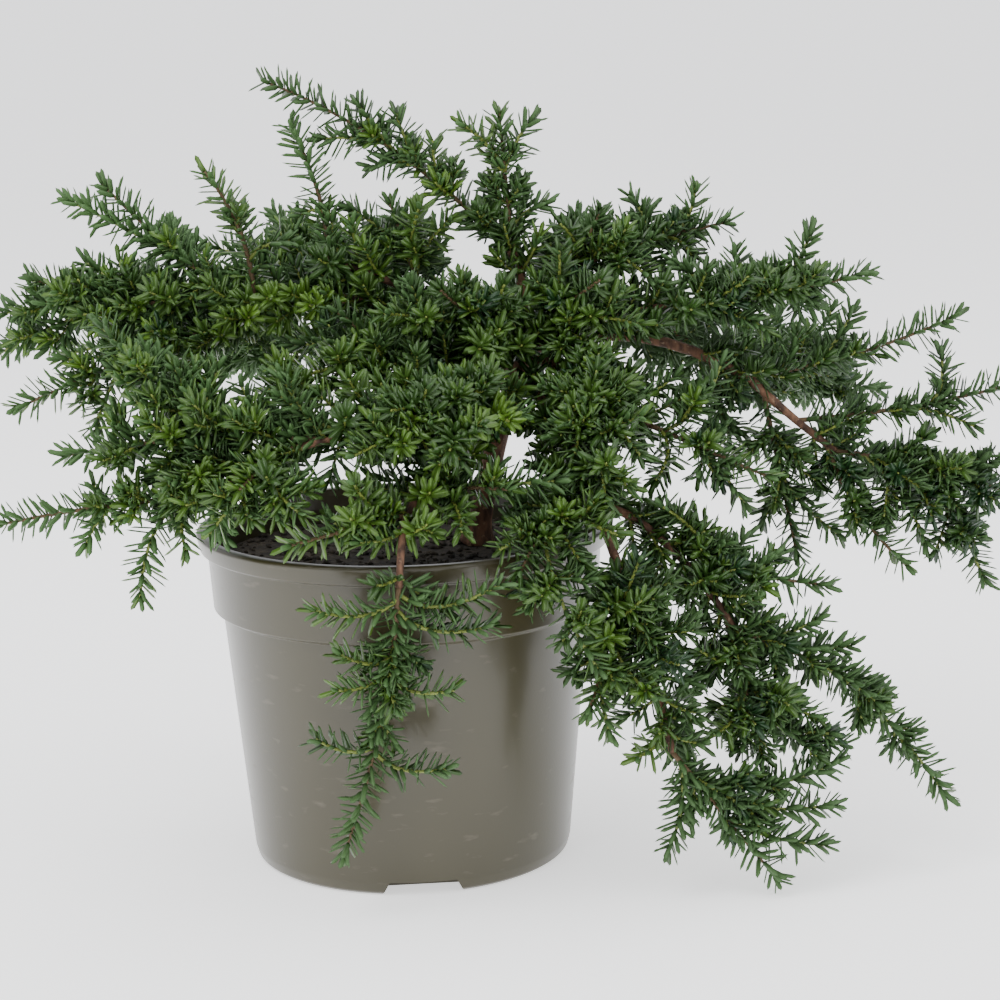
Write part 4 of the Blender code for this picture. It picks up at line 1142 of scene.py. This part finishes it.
class PLUMPINE_OT_leaves(bpy.types.Operator):
    """Set the leaves on every twig, their greens dealt out by spray and painted brighter towards the
    left, as painted light
    """

    bl_idname = "plumpine.leaves"
    bl_label = "Leaves"

    def execute(self, context):
        settings = context.scene.plumpine_foliage
        rng = random.Random(LEAF_SEED)
        groups = [[] for _ in range(LEAF_TONES)]
        for path, _, kind in fine_growth():
            # Painted light: a spray further to the left gets a brighter green, and the sway deals tones
            # at random
            sunny = SUNNY_MIDDLE - SUNNY_SLOPE * path[-1][0] + rng.gauss(0, SUNNY_SWAY)
            tone = min(LEAF_TONES - 1, max(0, int(sunny * LEAF_TONES)))
            groups[tone] += leaves_on(path, kind, rng, settings)
        for tone, leaves in enumerate(groups):
            share = tone / (LEAF_TONES - 1)
            colour = [a + (b - a) * share for a, b in zip(settings.deep_and_shaded, settings.bright)]
            # The undersides are painted brighter with the same share of painted light
            back = [a * (0.75 + 0.5 * share) for a in settings.underside]
            gloss = {"Coat_Weight": 0.12, "Coat_Roughness": 0.25}
            upper = Surface(f"leaf_green_{tone}", colour, 0.36, **gloss).material
            lower = Surface(f"leaf_back_{tone}", back, 0.6).material
            for part, first in enumerate(range(0, len(leaves), MOST_LEAVES_A_PIECE)):
                some = leaves[first:first + MOST_LEAVES_A_PIECE]
                corners, faces, slots = leaf_mesh(some, settings.leaf_thickness, rng)
                piece = mesh_object(f"leaves_{tone}_{part}", corners, faces, [upper, lower], slots)
                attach(piece, "root")
        return {"FINISHED"}


# Stage


class PLUMPINE_PG_stage(bpy.types.PropertyGroup):
    floor: colour_choice("Floor", "Colour of the floor", (0.92, 0.92, 0.92))
    focal: FloatProperty(name="Focal length", description="Lens in millimetres", default=96.3)


# Camera, in metres and radians
EYE = Vector((0.0, -1.2, 0.406))
YAW = math.radians(2.11)
PITCH = math.radians(11.44)
ROLL = math.radians(1.33)
SENSOR_WIDTH = 36

# Lights: name, place, size in metres, watts
LIGHTS = (
    ("key", (-0.9, -0.9, 1.7), 1.2, 24),
    ("fill", (1.2, -1.0, 1.0), 1.2, 7),
    ("top", (0.1, 0.3, 1.9), 1.6, 18),
)
LIT_POINT = (0, 0, 0.2)
FLOOR_SIZE = 60
FLOOR_CENTRE = (0, 25, 0)
FLOOR_GLOW = 0.95
SKY_COLOUR = (0.95, 0.96, 1.0, 1)


def camera_axes():
    """The camera's right, up and backward directions."""
    ahead = Vector((math.sin(YAW) * math.cos(PITCH), math.cos(YAW) * math.cos(PITCH), -math.sin(PITCH)))
    right = Vector((math.cos(YAW), -math.sin(YAW), 0))
    down = ahead.cross(right)
    turned = right * math.cos(ROLL) + down * math.sin(ROLL)
    lower = down * math.cos(ROLL) - right * math.sin(ROLL)
    return turned, -lower, -ahead


def area_light(name, place, size, watts):
    light = bpy.data.lights.new(name, "AREA")
    light.size = size
    light.energy = watts
    obj = bpy.data.objects.new(name, light)
    obj.location = place
    obj.rotation_euler = (Vector(LIT_POINT) - Vector(place)).to_track_quat("-Z", "Y").to_euler()
    bpy.context.scene.collection.objects.link(obj)


class PLUMPINE_OT_stage(bpy.types.Operator):
    """Lay the floor, light the studio and set the camera"""

    bl_idname = "plumpine.stage"
    bl_label = "Stage"

    def execute(self, context):
        settings = context.scene.plumpine_stage
        deselect()
        bpy.ops.mesh.primitive_plane_add(size=FLOOR_SIZE, location=FLOOR_CENTRE)
        floor = context.object
        floor.name = "studio_floor"
        glow = {"Emission_Color": (1, 1, 1, 1), "Emission_Strength": FLOOR_GLOW}
        surface = Surface("floor_paper", settings.floor, 0.9, **glow)
        surface.bump(surface.noise(600.0, 2.0), 0.05, 0.0002)
        floor.data.materials.append(surface.material)
        world = bpy.data.worlds.new("studio")
        context.scene.world = world
        world.use_nodes = True
        sky = world.node_tree.nodes["Background"]
        sky.inputs["Color"].default_value = SKY_COLOUR
        sky.inputs["Strength"].default_value = 1.0
        for light in LIGHTS:
            area_light(*light)
        lens = bpy.data.cameras.new("view")
        lens.lens = settings.focal
        lens.sensor_width = SENSOR_WIDTH
        camera = bpy.data.objects.new("view", lens)
        turned = Matrix(camera_axes()).transposed().to_4x4()
        camera.matrix_world = Matrix.Translation(EYE) @ turned
        context.scene.collection.objects.link(camera)
        context.scene.camera = camera
        return {"FINISHED"}


class PLUMPINE_PT_panel(bpy.types.Panel):
    bl_label = "Potted plum pine"
    bl_idname = "PLUMPINE_PT_panel"
    bl_space_type = "VIEW_3D"
    bl_region_type = "UI"
    bl_category = "Plum pine"

    def draw(self, context):
        for name in GROUPS:
            settings = getattr(context.scene, name)
            box = self.layout.box()
            for key in settings.bl_rna.properties.keys():
                if key not in ("rna_type", "name"):
                    box.prop(settings, key)
        for operator in OPERATORS:
            self.layout.operator(operator.bl_idname)


GROUPS = {
    "plumpine_pot": PLUMPINE_PG_pot,
    "plumpine_bark": PLUMPINE_PG_bark,
    "plumpine_foliage": PLUMPINE_PG_foliage,
    "plumpine_stage": PLUMPINE_PG_stage,
}
OPERATORS = (
    PLUMPINE_OT_pot,
    PLUMPINE_OT_compost,
    PLUMPINE_OT_wood,
    PLUMPINE_OT_twigs,
    PLUMPINE_OT_leaves,
    PLUMPINE_OT_stage,
)


def register():
    for kind in (*GROUPS.values(), *OPERATORS, PLUMPINE_PT_panel):
        bpy.utils.register_class(kind)
    for name, kind in GROUPS.items():
        setattr(bpy.types.Scene, name, PointerProperty(type=kind))


def unregister():
    for name in GROUPS:
        delattr(bpy.types.Scene, name)
    for kind in reversed((*GROUPS.values(), *OPERATORS, PLUMPINE_PT_panel)):
        bpy.utils.unregister_class(kind)


def main():
    register()
    for operator in OPERATORS:
        group, name = operator.bl_idname.split(".")
        getattr(getattr(bpy.ops, group), name)()


if __name__ == "__main__":
    main()
